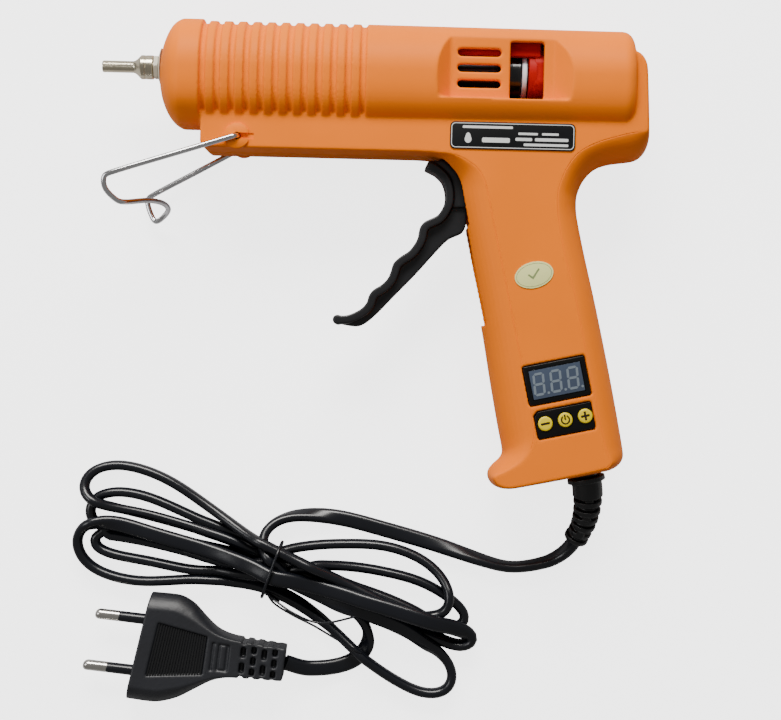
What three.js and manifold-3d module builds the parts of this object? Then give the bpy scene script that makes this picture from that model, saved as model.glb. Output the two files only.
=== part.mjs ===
// Hot-melt glue gun with a wire stand, a temperature display and a flat mains lead with its plug.
// Millimetres. The gun lies on its right side: x runs from the nozzle to the back, y from the
// handle's base up to the barrel, z up from the table through the gun's thickness.
//
// Inside the `gun` group the origin is on the glue stick's axis, at the nose's front face and on the
// split plane between the two housing halves.

import * as THREE from 'three';
import { mergeVertices } from 'three/addons/utils/BufferGeometryUtils.js';
import Module from 'manifold-3d';

const wasm = await Module();
wasm.setup();

// ---------------------------------------------------------------- driving dimensions

const GAP = 0.3; // clearance between neighbouring pieces
const WALL = 2.2; // housing wall

const BARREL_DROP = 2.05; // barrel axis below the stick axis
const CAP_RADIUS = 20; // smooth ring in front of the ribs, the widest part of the gun
const RIB_RADIUS = 19.4;
const RIB_PITCH = 5.22;
const RIB_COUNT = 11;
const GROOVE_WIDTH = 2.4;
const GROOVE_DEPTH = 1.1;
const FIRST_GROOVE_X = 15.4;
const BARREL_REAR_RADIUS = 19;
const BARREL_REAR_X = 172.3;
const BARREL_REAR_FILLET = 4.2;
const CHAMBER_SPACE_RADIUS = 16.9; // inside of the barrel
const ROUND = 26; // sides of the barrel

const BODY_HALF = 14; // lower block and handle, half thickness
const BODY_FRONT_X = 15.5;
const BODY_BOTTOM_Y = -30.6;
const BODY_TOP_Y = 9.1;
const BODY_REAR_X = 178.4;
const RAKE = THREE.MathUtils.degToRad(12.5); // handle leans back by this much

const POCKET = { floor: 13.5, left: 105.3, right: 142.6, bottom: -11, slopeLeft: 5.5, slopeRight: 7.8 };
const SLOT = { left: 107.8, right: 123.6, height: 2.85, pitch: 5.65, middle: 0.35 };
const WINDOW = { left: 126.8, right: 139, bottom: -10.7, top: 10.2 };

const STICK_RADIUS = 5.75;
const INLET_RADIUS = 6.7;

const NOZZLE = {
  tip: -22.1, tubeRadius: 2.15, bore: 0.9, tubeEnd: -10.7, bodyStart: -7.7, bodyRadius: 4.4, thread: 2.6,
};
const COLLAR = { front: -3, back: -1.5, flats: 7.8 };
const WASHER = { front: -1.2, back: -GAP, small: 5.2, large: 7.1 };

const CHAMBER = { front: 8, back: 80, radius: 9.6, spigotEnd: 96, spigotRadius: 6.9 };
const INSULATION = { front: 12, back: 79, inner: 13.8, outer: 14.6 };
const HEATER = { front: 22, back: 70, halfWidth: 5.5, thickness: 2.4 };
const SLEEVE = { front: 84, back: 131.3, inner: CHAMBER.spigotRadius + GAP, outer: 8.5 };
const CLIP = { front: 85.4, back: 88.4, thickness: 1 };
const RING = { thickness: 2.8, inner: 6.3, outer: 8.7 };

const TRIGGER_RANGE = THREE.MathUtils.degToRad(33);
const PIVOT = { x: 116.3, y: -35.4, radius: 2, hub: 4.6, hubHalf: 7 };
const TRIGGER_WEB = 3; // half thickness
const TRIGGER_FLANGE = { half: 7, thickness: 3 };
const DRIVE = { y: -16.2, pinRadius: 1.5, play: 0.45, armHalf: 2.2 };

const CARRIAGE = {
  front: 136, step: 152, back: 156, radius: 10.8, flat: 10.2, railFront: 107.8, railTop: 10.6,
};
const CLAMP = { front: 157, back: 159.4, halfWidth: 7.6, hingeY: -9, barRadius: 1.2, barHalf: 9.6 };

const STAND = { x: 29.2, y: -26.2, wire: 1, bossRadius: 4.6, bossHeight: 0.9, slot: 0.9 };
const LEG_OFFSET = BODY_HALF + STAND.bossHeight + GAP + STAND.wire;

const DISPLAY = { x: 146.2, y: -111.4, width: 22.4, height: 14.1, depth: 6, proud: 0.3 };
const PANEL = { x: 149.3, y: -125.6, width: 20.7, height: 9.6, thickness: 2, proud: 0.3, cut: 1.6 };
const BUTTON = { radius: 2.62, pitch: 7.3, proud: 0.7, flange: 3.1, travel: 0.7 };
const BOARD = { x: 148.6, y: -118.2, width: 21.5, height: 30, thickness: 1.4 };

const LABEL = { x: 128.2, y: -24, width: 45, height: 9.8, corner: 1.8, thickness: 0.35 };
const STICKER = { x: 137.1, y: -73.6, width: 14.2, height: 9.4, turn: 0.28, thickness: 0.2 };
const STUCK_ON = 0.1; // air under a sticker

const SCREW = { shank: 1.3, head: 2.7, headHeight: 1.7, boss: 3.4, end: 8 };
const SCREW_PLACES = [[52, -23.8], [92, -23.8], [166, -18], [142, -62], [139.5, -90.5], [138, -142]];

const RELIEF = { x: 159, y: -145.9, inside: 6.4, hole: 4.6 };
const TABLE_Z = -CAP_RADIUS; // the table, seen from the gun's own origin

const LEAD_RADIUS = 2.3; // plain round stand-in of the flat lead
const HANK_HEIGHT = 14;
const TIE = { x: 43.7, y: -185.4, turn: -0.33, width: 2, wire: 1.1 };
const PLUG = { x: 49.3, y: -219.9, turn: THREE.MathUtils.degToRad(-5.5), half: 6.8, length: 55 };
const PIN = { radius: 2, length: 19, spacing: 19.6, sleeve: 10, sleeveRadius: 1.75 };

// ---------------------------------------------------------------- shape helpers

// closed triangle mesh of a three.js geometry as a manifold solid, facing outwards
function solid(geometry) {
  const plain = new THREE.BufferGeometry();
  plain.setAttribute('position', geometry.getAttribute('position'));
  if (geometry.index) plain.setIndex(geometry.index);
  const merged = mergeVertices(plain, 1e-4);
  const at = merged.getAttribute('position');
  const index = merged.index.array;
  const triangles = [];
  let volume = 0;
  const a = new THREE.Vector3();
  const b = new THREE.Vector3();
  const c = new THREE.Vector3();
  for (let i = 0; i < index.length; i += 3) {
    const corners = [index[i], index[i + 1], index[i + 2]];
    if (new Set(corners).size < 3) continue;
    a.fromBufferAttribute(at, corners[0]);
    b.fromBufferAttribute(at, corners[1]);
    c.fromBufferAttribute(at, corners[2]);
    volume += a.dot(b.cross(c));
    triangles.push(corners);
  }
  if (volume < 0) triangles.forEach((corners) => corners.reverse());
  const mesh = new wasm.Mesh({
    numProp: 3,
    vertProperties: Float32Array.from(at.array),
    triVerts: Uint32Array.from(triangles.flat()),
  });
  mesh.merge();
  return new wasm.Manifold(mesh);
}

function union(...parts) {
  return parts.reduce((whole, part) => whole.add(part));
}

function box(x0, x1, y0, y1, z0, z1) {
  const geometry = new THREE.BoxGeometry(x1 - x0, y1 - y0, z1 - z0);
  geometry.translate((x0 + x1) / 2, (y0 + y1) / 2, (z0 + z1) / 2);
  return solid(geometry);
}

// round bar along z
function barZ(x, y, radius, z0, z1, sides = 20) {
  const geometry = new THREE.CylinderGeometry(radius, radius, z1 - z0, sides);
  geometry.rotateX(Math.PI / 2);
  geometry.translate(x, y, (z0 + z1) / 2);
  return solid(geometry);
}

// round bar along x on the stick axis, or `drop` below it
function barX(radius, x0, x1, drop = 0, sides = 32) {
  const geometry = new THREE.CylinderGeometry(radius, radius, x1 - x0, sides);
  geometry.rotateZ(-Math.PI / 2);
  geometry.translate((x0 + x1) / 2, -drop, 0);
  return solid(geometry);
}

// body of revolution about the x direction from [x, radius] points
function turned(profile, drop = 0, sides = 32) {
  const points = profile.map(([x, radius]) => new THREE.Vector2(radius, x));
  const geometry = new THREE.LatheGeometry(points, sides);
  geometry.rotateZ(-Math.PI / 2);
  geometry.translate(0, -drop, 0);
  return solid(geometry);
}

function pipeX(inner, outer, x0, x1, sides = 32) {
  return turned([[x0, inner], [x0, outer], [x1, outer], [x1, inner], [x0, inner]], 0, sides);
}

function outline(points) {
  return new THREE.Shape(points.map(([x, y]) => new THREE.Vector2(x, y)));
}

function prism(shape, z0, z1, curveSegments = 8) {
  const geometry = new THREE.ExtrudeGeometry(shape, { depth: z1 - z0, bevelEnabled: false, curveSegments });
  geometry.translate(0, 0, z0);
  return solid(geometry);
}

function roundedRectangle(width, height, corner) {
  const shape = new THREE.Shape();
  const x = width / 2;
  const y = height / 2;
  shape.moveTo(-x + corner, -y);
  shape.lineTo(x - corner, -y);
  shape.absarc(x - corner, -y + corner, corner, -Math.PI / 2, 0);
  shape.absarc(x - corner, y - corner, corner, 0, Math.PI / 2);
  shape.absarc(-x + corner, y - corner, corner, Math.PI / 2, Math.PI);
  shape.absarc(-x + corner, -y + corner, corner, Math.PI, 1.5 * Math.PI);
  return shape;
}

// outline moved inwards by `distance` along the mitre at each corner of a counter-clockwise ring
function inset(ring, distance) {
  return ring.map((point, i) => {
    const before = ring[(i + ring.length - 1) % ring.length];
    const after = ring[(i + 1) % ring.length];
    const one = new THREE.Vector2().subVectors(point, before).normalize();
    const two = new THREE.Vector2().subVectors(after, point).normalize();
    const mitre = new THREE.Vector2(-one.y - two.y, one.x + two.x).normalize();
    const cosine = mitre.dot(new THREE.Vector2(-one.y, one.x));
    const grow = Math.min(distance / Math.max(cosine, 0.5), 1.6 * distance);
    return new THREE.Vector2(point.x + mitre.x * grow, point.y + mitre.y * grow);
  });
}

// slab that is `edge` at the split plane and rounds off to `crease` on both side faces
function roundedSlab(edge, crease, half, steps = 4) {
  const count = edge.length;
  const positions = [];
  const index = [];
  for (let level = -steps; level <= steps; level += 1) {
    const angle = (level / steps) * (Math.PI / 2);
    for (let i = 0; i < count; i += 1) {
      const inward = 1 - Math.cos(angle);
      positions.push(
        edge[i].x + (crease[i].x - edge[i].x) * inward,
        edge[i].y + (crease[i].y - edge[i].y) * inward,
        half * Math.sin(angle),
      );
    }
  }
  for (let level = 0; level < 2 * steps; level += 1) {
    for (let i = 0; i < count; i += 1) {
      const a = level * count + i;
      const b = level * count + ((i + 1) % count);
      index.push(a, b, b + count, a, b + count, a + count);
    }
  }
  const top = 2 * steps * count;
  for (const corners of THREE.ShapeUtils.triangulateShape(crease, [])) {
    const upwards = THREE.ShapeUtils.area(corners.map((i) => crease[i])) > 0;
    const [a, b, c] = upwards ? corners : corners.toReversed();
    index.push(c, b, a, top + a, top + b, top + c);
  }
  const geometry = new THREE.BufferGeometry();
  geometry.setAttribute('position', new THREE.Float32BufferAttribute(positions, 3));
  geometry.setIndex(index);
  return solid(geometry);
}

// round wire or lead through points
function wire(points, radius, sides, steps, tension = 0.5) {
  const corners = points.map((p) => new THREE.Vector3(...p));
  const path = new THREE.CatmullRomCurve3(corners, false, 'catmullrom', tension);
  const section = new THREE.Shape();
  section.absarc(0, 0, radius, 0, 2 * Math.PI);
  return solid(new THREE.ExtrudeGeometry(section, { steps, extrudePath: path, curveSegments: sides / 2 }));
}

// manifold solid back to a three.js geometry
function geometryOf(body) {
  const mesh = body.getMesh();
  const geometry = new THREE.BufferGeometry();
  geometry.setAttribute('position', new THREE.BufferAttribute(Float32Array.from(mesh.vertProperties), 3));
  geometry.setIndex(new THREE.BufferAttribute(Uint32Array.from(mesh.triVerts), 1));
  geometry.computeVertexNormals();
  return geometry;
}

const FINISH = {
  orange: { color: 0xf0820f, roughness: 0.45, metalness: 0 },
  black: { color: 0x17181b, roughness: 0.5, metalness: 0 },
  rubber: { color: 0x121315, roughness: 0.6, metalness: 0 },
  plated: { color: 0xcfc8ae, roughness: 0.25, metalness: 1 },
  pale: { color: 0xc9c3b0, roughness: 0.6, metalness: 0 },
  chrome: { color: 0xd8d8dc, roughness: 0.12, metalness: 1 },
  steel: { color: 0xa9abb0, roughness: 0.35, metalness: 1 },
  aluminium: { color: 0xb6b8bb, roughness: 0.4, metalness: 1 },
  mica: { color: 0xcbb98f, roughness: 0.7, metalness: 0 },
  white: { color: 0xeceaf0, roughness: 0.5, metalness: 0 },
  red: { color: 0xb8160c, roughness: 0.4, metalness: 0 },
  yellow: { color: 0xf2dc1c, roughness: 0.35, metalness: 0 },
  label: { color: 0x33363b, roughness: 0.35, metalness: 0 },
  sticker: { color: 0xdfe6bd, roughness: 0.5, metalness: 0 },
  lens: { color: 0x6f7b8a, roughness: 0.15, metalness: 0 },
  board: { color: 0x1d5a33, roughness: 0.5, metalness: 0 },
};

const materials = Object.fromEntries(
  Object.entries(FINISH).map(([name, finish]) => [name, new THREE.MeshStandardMaterial(finish)]),
);

const gun = new THREE.Group();
const lead = new THREE.Group();

function put(group, name, body, finish) {
  const mesh = new THREE.Mesh(geometryOf(body), materials[finish]);
  mesh.name = name;
  group.add(mesh);
  return mesh;
}

// ---------------------------------------------------------------- housing

// split-plane outline and the crease of the flat side face, paired point by point:
// [edge x, edge y, crease x, crease y], counter-clockwise from the front of the lower block
const BODY_RING = [
  [BODY_FRONT_X, BODY_TOP_Y, 15.9, 8.7],
  [BODY_FRONT_X, -28.6, 15.9, -28.4],
  [17.5, BODY_BOTTOM_Y, 17.7, -30.2],
  [94, BODY_BOTTOM_Y, 94, -30.2],
  [100.8, -31.1, 102.3, -30.6],
  [103.5, -33, 107.3, -31],
  [105.6, -35.7, 111.4, -32.6],
  [107.2, -38.5, 116, -36],
  [108.2, -41.5, 118.7, -40.6],
  [109.2, -46.5, 120.2, -46],
  [111.4, -57.3, 122.2, -55.5],
  [114.2, -70.5, 125.2, -68.5],
  [119, -91.2, 129.9, -89.5],
  [122.9, -112.1, 134.4, -110],
  [125.8, -127, 137.4, -123.5],
  [128, -137.6, 138.5, -131.5],
  [127.2, -140.2, 137.6, -136.2],
  [124.6, -142.8, 134.6, -140.5],
  [123.1, -145, 129.6, -143.8],
  [123, -147.3, 124.9, -146],
  [124.4, -149.8, 125.5, -148.8],
  [127.6, -151.2, 128, -150.3],
  [132.7, -151.1, 132.6, -150.2],
  [165.4, -144.3, 164.4, -142.8],
  [170, -142.4, 166.4, -140.6],
  [172.3, -139.3, 165.6, -138.4],
  [172.1, -135.2, 164.2, -134.6],
  [167.2, -111, 158.6, -110.4],
  [161.3, -84.9, 152.9, -84.2],
  [156.4, -65, 147.8, -65],
  [153.5, -52, 145.4, -52],
  [153, -47.4, 145, -47],
  [153.3, -43.2, 145.5, -41.6],
  [155.5, -38, 148.2, -34.6],
  [159.5, -33.8, 152.6, -29],
  [164.6, -31.8, 159.5, -25.2],
  [173.4, -30.4, 168.6, -22.4],
  [176.6, -28.4, 173, -21.4],
  [BODY_REAR_X, -24.6, 176.4, -20.8],
  [BODY_REAR_X, -19, 176.9, -17.6],
  [177.4, 1, 176.1, 1],
  [176.7, 5, 175.3, 4.4],
  [174.4, 8.1, 173.2, 7],
  [170.6, BODY_TOP_Y, 170, 8.2],
];
const BODY_EDGE = BODY_RING.map(([x, y]) => new THREE.Vector2(x, y));
const BODY_CREASE = BODY_RING.map(([, , x, y]) => new THREE.Vector2(x, y));

function barrelProfile() {
  const points = [[0, 0], [0, 7.8], [1, 11.2], [2.7, 15.2], [4.8, 18.2], [7.3, 19.8], [8.2, CAP_RADIUS]];
  points.push([FIRST_GROOVE_X, CAP_RADIUS]);
  for (let i = 0; i <= RIB_COUNT; i += 1) {
    const x = FIRST_GROOVE_X + i * RIB_PITCH;
    points.push([x + 0.2, RIB_RADIUS - GROOVE_DEPTH], [x + GROOVE_WIDTH - 0.2, RIB_RADIUS - GROOVE_DEPTH]);
    points.push([x + GROOVE_WIDTH, RIB_RADIUS]);
    if (i < RIB_COUNT) points.push([x + RIB_PITCH, RIB_RADIUS]);
  }
  for (let i = 0; i <= 4; i += 1) {
    const angle = (i / 4) * (Math.PI / 2);
    const x = BARREL_REAR_X - BARREL_REAR_FILLET * (1 - Math.sin(angle));
    points.push([x, BARREL_REAR_RADIUS - BARREL_REAR_FILLET * (1 - Math.cos(angle))]);
  }
  points.push([BARREL_REAR_X, 0]);
  return points;
}

function barrelSpace() {
  const back = BARREL_REAR_X - 2.8;
  const radius = CHAMBER_SPACE_RADIUS;
  const profile = [[3, 0], [3, 11], [8, radius], [back - 4, radius], [back, radius - 3], [back, 0]];
  const under = box(
    POCKET.left - POCKET.slopeLeft - 2, POCKET.right + POCKET.slopeRight + 2,
    -CAP_RADIUS - 5, CAP_RADIUS + 5, POCKET.floor - WALL, CAP_RADIUS + 5,
  );
  return turned(profile, BARREL_DROP, 18).subtract(under);
}

function windowPocket() {
  const side = new THREE.Shape([
    new THREE.Vector2(POCKET.left - POCKET.slopeLeft, CAP_RADIUS),
    new THREE.Vector2(POCKET.left, POCKET.floor),
    new THREE.Vector2(POCKET.right, POCKET.floor),
    new THREE.Vector2(POCKET.right + POCKET.slopeRight, CAP_RADIUS),
  ]);
  const length = CAP_RADIUS + 5 - POCKET.bottom;
  const geometry = new THREE.ExtrudeGeometry(side, { depth: length, bevelEnabled: false });
  geometry.rotateX(Math.PI / 2); // the side view's height becomes z, its depth runs down y
  geometry.translate(0, POCKET.bottom + length, 0);
  let cut = solid(geometry);
  for (const row of [-1, 0, 1]) {
    const slot = roundedRectangle(SLOT.right - SLOT.left, SLOT.height, SLOT.height / 2 - 0.01);
    const middle = (SLOT.left + SLOT.right) / 2;
    const y = SLOT.middle + row * SLOT.pitch;
    cut = cut.add(prism(slot, 5, POCKET.floor + 1, 4).translate([middle, y, 0]));
  }
  return cut.add(box(WINDOW.left, WINDOW.right, WINDOW.bottom, WINDOW.top, 5, POCKET.floor + 1));
}

// the trigger's way into the front of the handle
function triggerSlot() {
  const half = TRIGGER_FLANGE.half + 0.6;
  return prism(outline([[96, -33.4], [106, -30.9], [120, -31], [133, -92], [112, -92]]), -half, half);
}

function turnedBox(place, width, height, z0, z1) {
  const shape = roundedRectangle(width, height, 0.4);
  return prism(shape, z0, z1, 2).rotate([0, 0, (RAKE * 180) / Math.PI]).translate([place.x, place.y, 0]);
}

function panelShape(grow) {
  const x = PANEL.width / 2 + grow;
  const y = PANEL.height / 2 + grow;
  const cut = PANEL.cut;
  return outline([[-x, -y], [x, -y], [x, y], [-x + cut, y], [-x, y - cut]]);
}

function onPanel(body) {
  return body.rotate([0, 0, (RAKE * 180) / Math.PI]).translate([PANEL.x, PANEL.y, 0]);
}

function screwBosses(side) {
  const low = side > 0 ? GAP / 2 : -BODY_HALF + 1;
  const high = side > 0 ? BODY_HALF - 1 : -GAP / 2;
  return union(...SCREW_PLACES.map(([x, y]) => barZ(x, y, SCREW.boss, low, high, 16)));
}

function screwHoles(side) {
  const floor = -BODY_HALF + SCREW.headHeight + 0.6;
  return union(...SCREW_PLACES.map(([x, y]) => {
    if (side > 0) return barZ(x, y, SCREW.shank + GAP, -1, SCREW.end + 1, 12);
    const countersink = barZ(x, y, SCREW.head + GAP + 0.1, -BODY_HALF - 1, floor, 16);
    return barZ(x, y, SCREW.shank + GAP + 0.1, -BODY_HALF, 1, 12).add(countersink);
  }));
}

function housingHalf(side) {
  const outside = turned(barrelProfile(), BARREL_DROP, ROUND)
    .add(roundedSlab(BODY_EDGE, BODY_CREASE, BODY_HALF));
  const space = barrelSpace().add(
    roundedSlab(inset(BODY_EDGE, WALL), inset(BODY_CREASE, WALL), BODY_HALF - WALL, 2)
      .subtract(box(
        POCKET.left - POCKET.slopeLeft - 2, POCKET.right + POCKET.slopeRight + 2,
        -CAP_RADIUS + 4, CAP_RADIUS, POCKET.floor - WALL, CAP_RADIUS)),
  );
  let shell = outside.subtract(space);
  const boss = STAND.bossHeight + BODY_HALF;
  const standBoss = side > 0
    ? barZ(STAND.x, STAND.y, STAND.bossRadius, BODY_HALF - 3, boss, 24)
    : barZ(STAND.x, STAND.y, STAND.bossRadius, -boss, -BODY_HALF + 3, 24);
  shell = shell.add(standBoss).add(screwBosses(side));
  const pivotBoss = side > 0
    ? barZ(PIVOT.x, PIVOT.y, PIVOT.radius + 2.4, PIVOT.hubHalf + 0.6, BODY_HALF - 1, 16)
    : barZ(PIVOT.x, PIVOT.y, PIVOT.radius + 2.4, -BODY_HALF + 1, -PIVOT.hubHalf - 0.6, 16);
  shell = shell.add(pivotBoss);
  const slotLow = STAND.y - STAND.slot;
  const slotHigh = STAND.y + STAND.slot;
  const standSlot = side > 0
    ? box(STAND.x, STAND.x + 6, slotLow, slotHigh, BODY_HALF + 0.1, boss + 1)
    : box(STAND.x, STAND.x + 6, slotLow, slotHigh, -boss - 1, -BODY_HALF - 0.1);
  let cuts = union(
    standSlot,
    barZ(STAND.x, STAND.y, STAND.wire + 0.4, side > 0 ? 8 : -boss - 1, side > 0 ? boss + 1 : -8, 12),
    barZ(PIVOT.x, PIVOT.y, PIVOT.radius + GAP, -BODY_HALF + 2, BODY_HALF - 2, 12),
    screwHoles(side),
    barX(5.4, -2, 5, 0, 24),
    barX(INLET_RADIUS, BODY_REAR_X - 12, BODY_REAR_X + 2, 0, 28),
    triggerSlot(),
    reliefHole(),
  );
  if (side > 0) {
    cuts = cuts.add(windowPocket());
    const displayHole = [DISPLAY.width + 2 * GAP, DISPLAY.height + 2 * GAP];
    cuts = cuts.add(turnedBox(DISPLAY, ...displayHole, 9, BODY_HALF + 2));
    cuts = cuts.add(onPanel(prism(panelShape(GAP), 9, BODY_HALF + 2)));
  }
  const half = side > 0 ? box(-5, 200, -170, 30, GAP / 2, 40) : box(-5, 200, -170, 30, -40, -GAP / 2);
  return shell.subtract(cuts).intersect(half);
}

function reliefHole() {
  const geometry = new THREE.CylinderGeometry(RELIEF.hole, RELIEF.hole, 12, 20);
  geometry.rotateZ(RAKE);
  geometry.translate(RELIEF.x, RELIEF.y, 0);
  return solid(geometry);
}

put(gun, 'left_housing', housingHalf(1), 'orange');
put(gun, 'right_housing', housingHalf(-1), 'orange');

SCREW_PLACES.forEach(([x, y], i) => {
  const top = -BODY_HALF + 0.3 + SCREW.headHeight;
  const head = barZ(x, y, SCREW.head, -BODY_HALF + 0.3, top, 16);
  const cross = union(
    box(x - 1.6, x + 1.6, y - 0.35, y + 0.35, -BODY_HALF, -BODY_HALF + 1.2),
    box(x - 0.35, x + 0.35, y - 1.6, y + 1.6, -BODY_HALF, -BODY_HALF + 1.2),
  );
  const shank = barZ(x, y, SCREW.shank, top - 0.1, SCREW.end, 10);
  put(gun, `housing_screw_${i + 1}`, head.subtract(cross).add(shank), 'steel');
});

// ---------------------------------------------------------------- nozzle and melting chamber

put(gun, 'nozzle', turned([
  [NOZZLE.tip, NOZZLE.bore], [NOZZLE.tip, NOZZLE.tubeRadius - 0.25], [NOZZLE.tip + 0.4, NOZZLE.tubeRadius],
  [NOZZLE.tubeEnd, NOZZLE.tubeRadius], [NOZZLE.tubeEnd + 1.2, 2.7], [NOZZLE.tubeEnd + 2.2, 3.6],
  [NOZZLE.bodyStart, NOZZLE.bodyRadius], [COLLAR.front - GAP, NOZZLE.bodyRadius],
  [COLLAR.front - GAP, NOZZLE.thread], [CHAMBER.front + 6, NOZZLE.thread],
  [CHAMBER.front + 6, NOZZLE.bore + 0.6], [NOZZLE.bodyStart, NOZZLE.bore + 0.6],
  [NOZZLE.tubeEnd, NOZZLE.bore], [NOZZLE.tip, NOZZLE.bore],
], 0, 16), 'plated');

const hexRadius = COLLAR.flats / Math.sqrt(3);
const hexCollar = new THREE.CylinderGeometry(hexRadius, hexRadius, COLLAR.back - COLLAR.front, 6);
hexCollar.rotateZ(-Math.PI / 2);
hexCollar.translate((COLLAR.front + COLLAR.back) / 2, 0, 0);
const threadHole = NOZZLE.thread + GAP;
const collarHole = barX(threadHole, COLLAR.front - 1, COLLAR.back + 1, 0, 20);
put(gun, 'nozzle_collar', solid(hexCollar).subtract(collarHole), 'pale');

put(gun, 'nozzle_washer', turned([
  [WASHER.front, threadHole], [WASHER.front, WASHER.small], [WASHER.back - 0.3, WASHER.large],
  [WASHER.back, WASHER.large], [WASHER.back, threadHole], [WASHER.front, threadHole],
], 0, 20), 'pale');

const chamberBore = STICK_RADIUS + 0.15;
put(gun, 'melt_chamber', turned([
  [CHAMBER.front, threadHole], [CHAMBER.front, 5], [CHAMBER.front + 4, CHAMBER.radius],
  [CHAMBER.back, CHAMBER.radius], [CHAMBER.back, CHAMBER.spigotRadius],
  [CHAMBER.spigotEnd, CHAMBER.spigotRadius], [CHAMBER.spigotEnd, chamberBore],
  [CHAMBER.front + 16, chamberBore], [CHAMBER.front + 10, threadHole], [CHAMBER.front, threadHole],
], 0, 20).subtract(box(HEATER.front - 2, HEATER.back + 2, -12, -CHAMBER.radius + 0.8, -12, 12)), 'aluminium');

const heaterTop = -CHAMBER.radius + 0.8 - GAP;
put(gun, 'heater_plate', box(
  HEATER.front, HEATER.back, heaterTop - HEATER.thickness, heaterTop, -HEATER.halfWidth, HEATER.halfWidth,
), 'white');

put(gun, 'insulation_sleeve', turned([
  [INSULATION.front, INSULATION.inner], [INSULATION.front, INSULATION.outer],
  [INSULATION.back, INSULATION.outer], [INSULATION.back, INSULATION.inner], [INSULATION.front, INSULATION.inner],
], BARREL_DROP, 18), 'mica');

put(gun, 'inlet_sleeve', pipeX(SLEEVE.inner, SLEEVE.outer, SLEEVE.front, SLEEVE.back, 20), 'rubber');

const clipInner = SLEEVE.outer + GAP;
put(gun, 'sleeve_clip', pipeX(clipInner, clipInner + CLIP.thickness, CLIP.front, CLIP.back, 16), 'steel');

const ringFront = SLEEVE.back + GAP;
put(gun, 'sleeve_ring', pipeX(RING.inner, RING.outer, ringFront, ringFront + RING.thickness, 20), 'white');

// ---------------------------------------------------------------- trigger, carriage and clamp

const strokeAngle = TRIGGER_RANGE / 2;
const driveHeight = DRIVE.y - PIVOT.y;
const drivePinX = PIVOT.x + driveHeight * Math.tan(strokeAngle);
const driveReach = driveHeight / Math.cos(strokeAngle);

function feedCarriage() {
  const { front, step, back, radius, flat, railFront, railTop } = CARRIAGE;
  const cup = barX(radius, front, back).intersect(box(front, back, -radius, radius, -flat, flat));
  const bore = barX(SLEEVE.outer + 0.7, front - 1, step).add(barX(INLET_RADIUS, step - 1, back + 1));
  const topRail = union(
    box(railFront, front + 2, 9.1, railTop, -flat, flat),
    box(railFront, front + 2, 5.4, railTop, flat - 3.2, flat),
  );
  const ears = DRIVE.armHalf + 0.6;
  const lugFront = drivePinX - 3.2;
  const lugBack = drivePinX + 3.2;
  const lowerRail = box(lugFront, front + 2, -10.9, -9.3, -ears - 2.4, ears + 2.4);
  let body = cup.subtract(bore).add(topRail).add(lowerRail);
  for (const side of [-1, 1]) {
    const inner = side * ears;
    const outer = side * (ears + 2.4);
    const z0 = Math.min(inner, outer);
    const z1 = Math.max(inner, outer);
    body = body.add(box(lugFront, lugBack, DRIVE.y - 2.8, -10, z0, z1));
    const earMiddle = side * (CLAMP.halfWidth + 0.6);
    const e0 = Math.min(earMiddle, earMiddle + side * 2);
    const e1 = Math.max(earMiddle, earMiddle + side * 2);
    const earLow = CLAMP.hingeY - 1.7;
    body = body.add(box(back - 1, CLAMP.back + 1, earLow, CLAMP.hingeY + 2.6, e0, e1));
    body = body.add(box(back - 2, back, earLow, 0, e0, e1));
  }
  const clampX = (CLAMP.front + CLAMP.back) / 2;
  return body
    .subtract(barZ(drivePinX, DRIVE.y, DRIVE.pinRadius + GAP, -8, 8, 14))
    .subtract(barZ(clampX, CLAMP.hingeY, CLAMP.barRadius + GAP, -12, 12, 12));
}

put(gun, 'feed_carriage', feedCarriage(), 'red');
put(gun, 'drive_pin', barZ(drivePinX, DRIVE.y, DRIVE.pinRadius, -5.2, 5.2, 14), 'steel');

function stickClamp() {
  const x = (CLAMP.front + CLAMP.back) / 2;
  const plate = box(CLAMP.front, CLAMP.back, CLAMP.hingeY, 9.2, -CLAMP.halfWidth, CLAMP.halfWidth);
  const bar = barZ(x, CLAMP.hingeY, CLAMP.barRadius, -CLAMP.barHalf, CLAMP.barHalf, 12);
  return plate.add(bar).subtract(barX(STICK_RADIUS + 0.5, CLAMP.front - 1, CLAMP.back + 1, 0, 24));
}

put(gun, 'stick_clamp', stickClamp(), 'steel');

// finger side of the lever, from the hook at the top down to the curled tip
const FINGER_SIDE = [
  [97.6, -35.2], [101, -37.2], [103.7, -40], [104.9, -44.3], [104.5, -48.2], [102.4, -52],
  [99.6, -53.6], [97.4, -54.8], [95.8, -57], [95.2, -60.4], [94, -63], [92, -65.6],
  [89.2, -67.5], [86.6, -70], [85.7, -72.8], [84.6, -75.6], [82.4, -78], [79.4, -80],
  [77.8, -82.2], [77, -84.8], [74.8, -87.2], [70.2, -89.4], [65.6, -89.6],
];

// the flange is a band behind the finger side, `thickness` wide
function flangeBand() {
  const { thickness } = TRIGGER_FLANGE;
  const line = FINGER_SIDE.map(([x, y]) => new THREE.Vector2(x, y));
  const behind = line.map((point, i) => {
    const before = line[Math.max(i - 1, 0)];
    const after = line[Math.min(i + 1, line.length - 1)];
    const along = new THREE.Vector2().subVectors(after, before).normalize();
    return new THREE.Vector2(point.x - along.y * thickness, point.y + along.x * thickness);
  });
  return new THREE.Shape([...line, ...behind.reverse()]);
}

const TRIGGER_BACK = [
  [99.2, -34], [103.5, -34], [108, -38.5], [112, -45], [113, -50], [112, -57.4],
  [106.5, -60.6], [101.8, -65.5], [95, -73.4], [87.5, -81.4], [80.4, -89], [76, -92.6],
  [72.5, -93.4], [66, -92.2], [65.4, -90.4],
];

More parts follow.
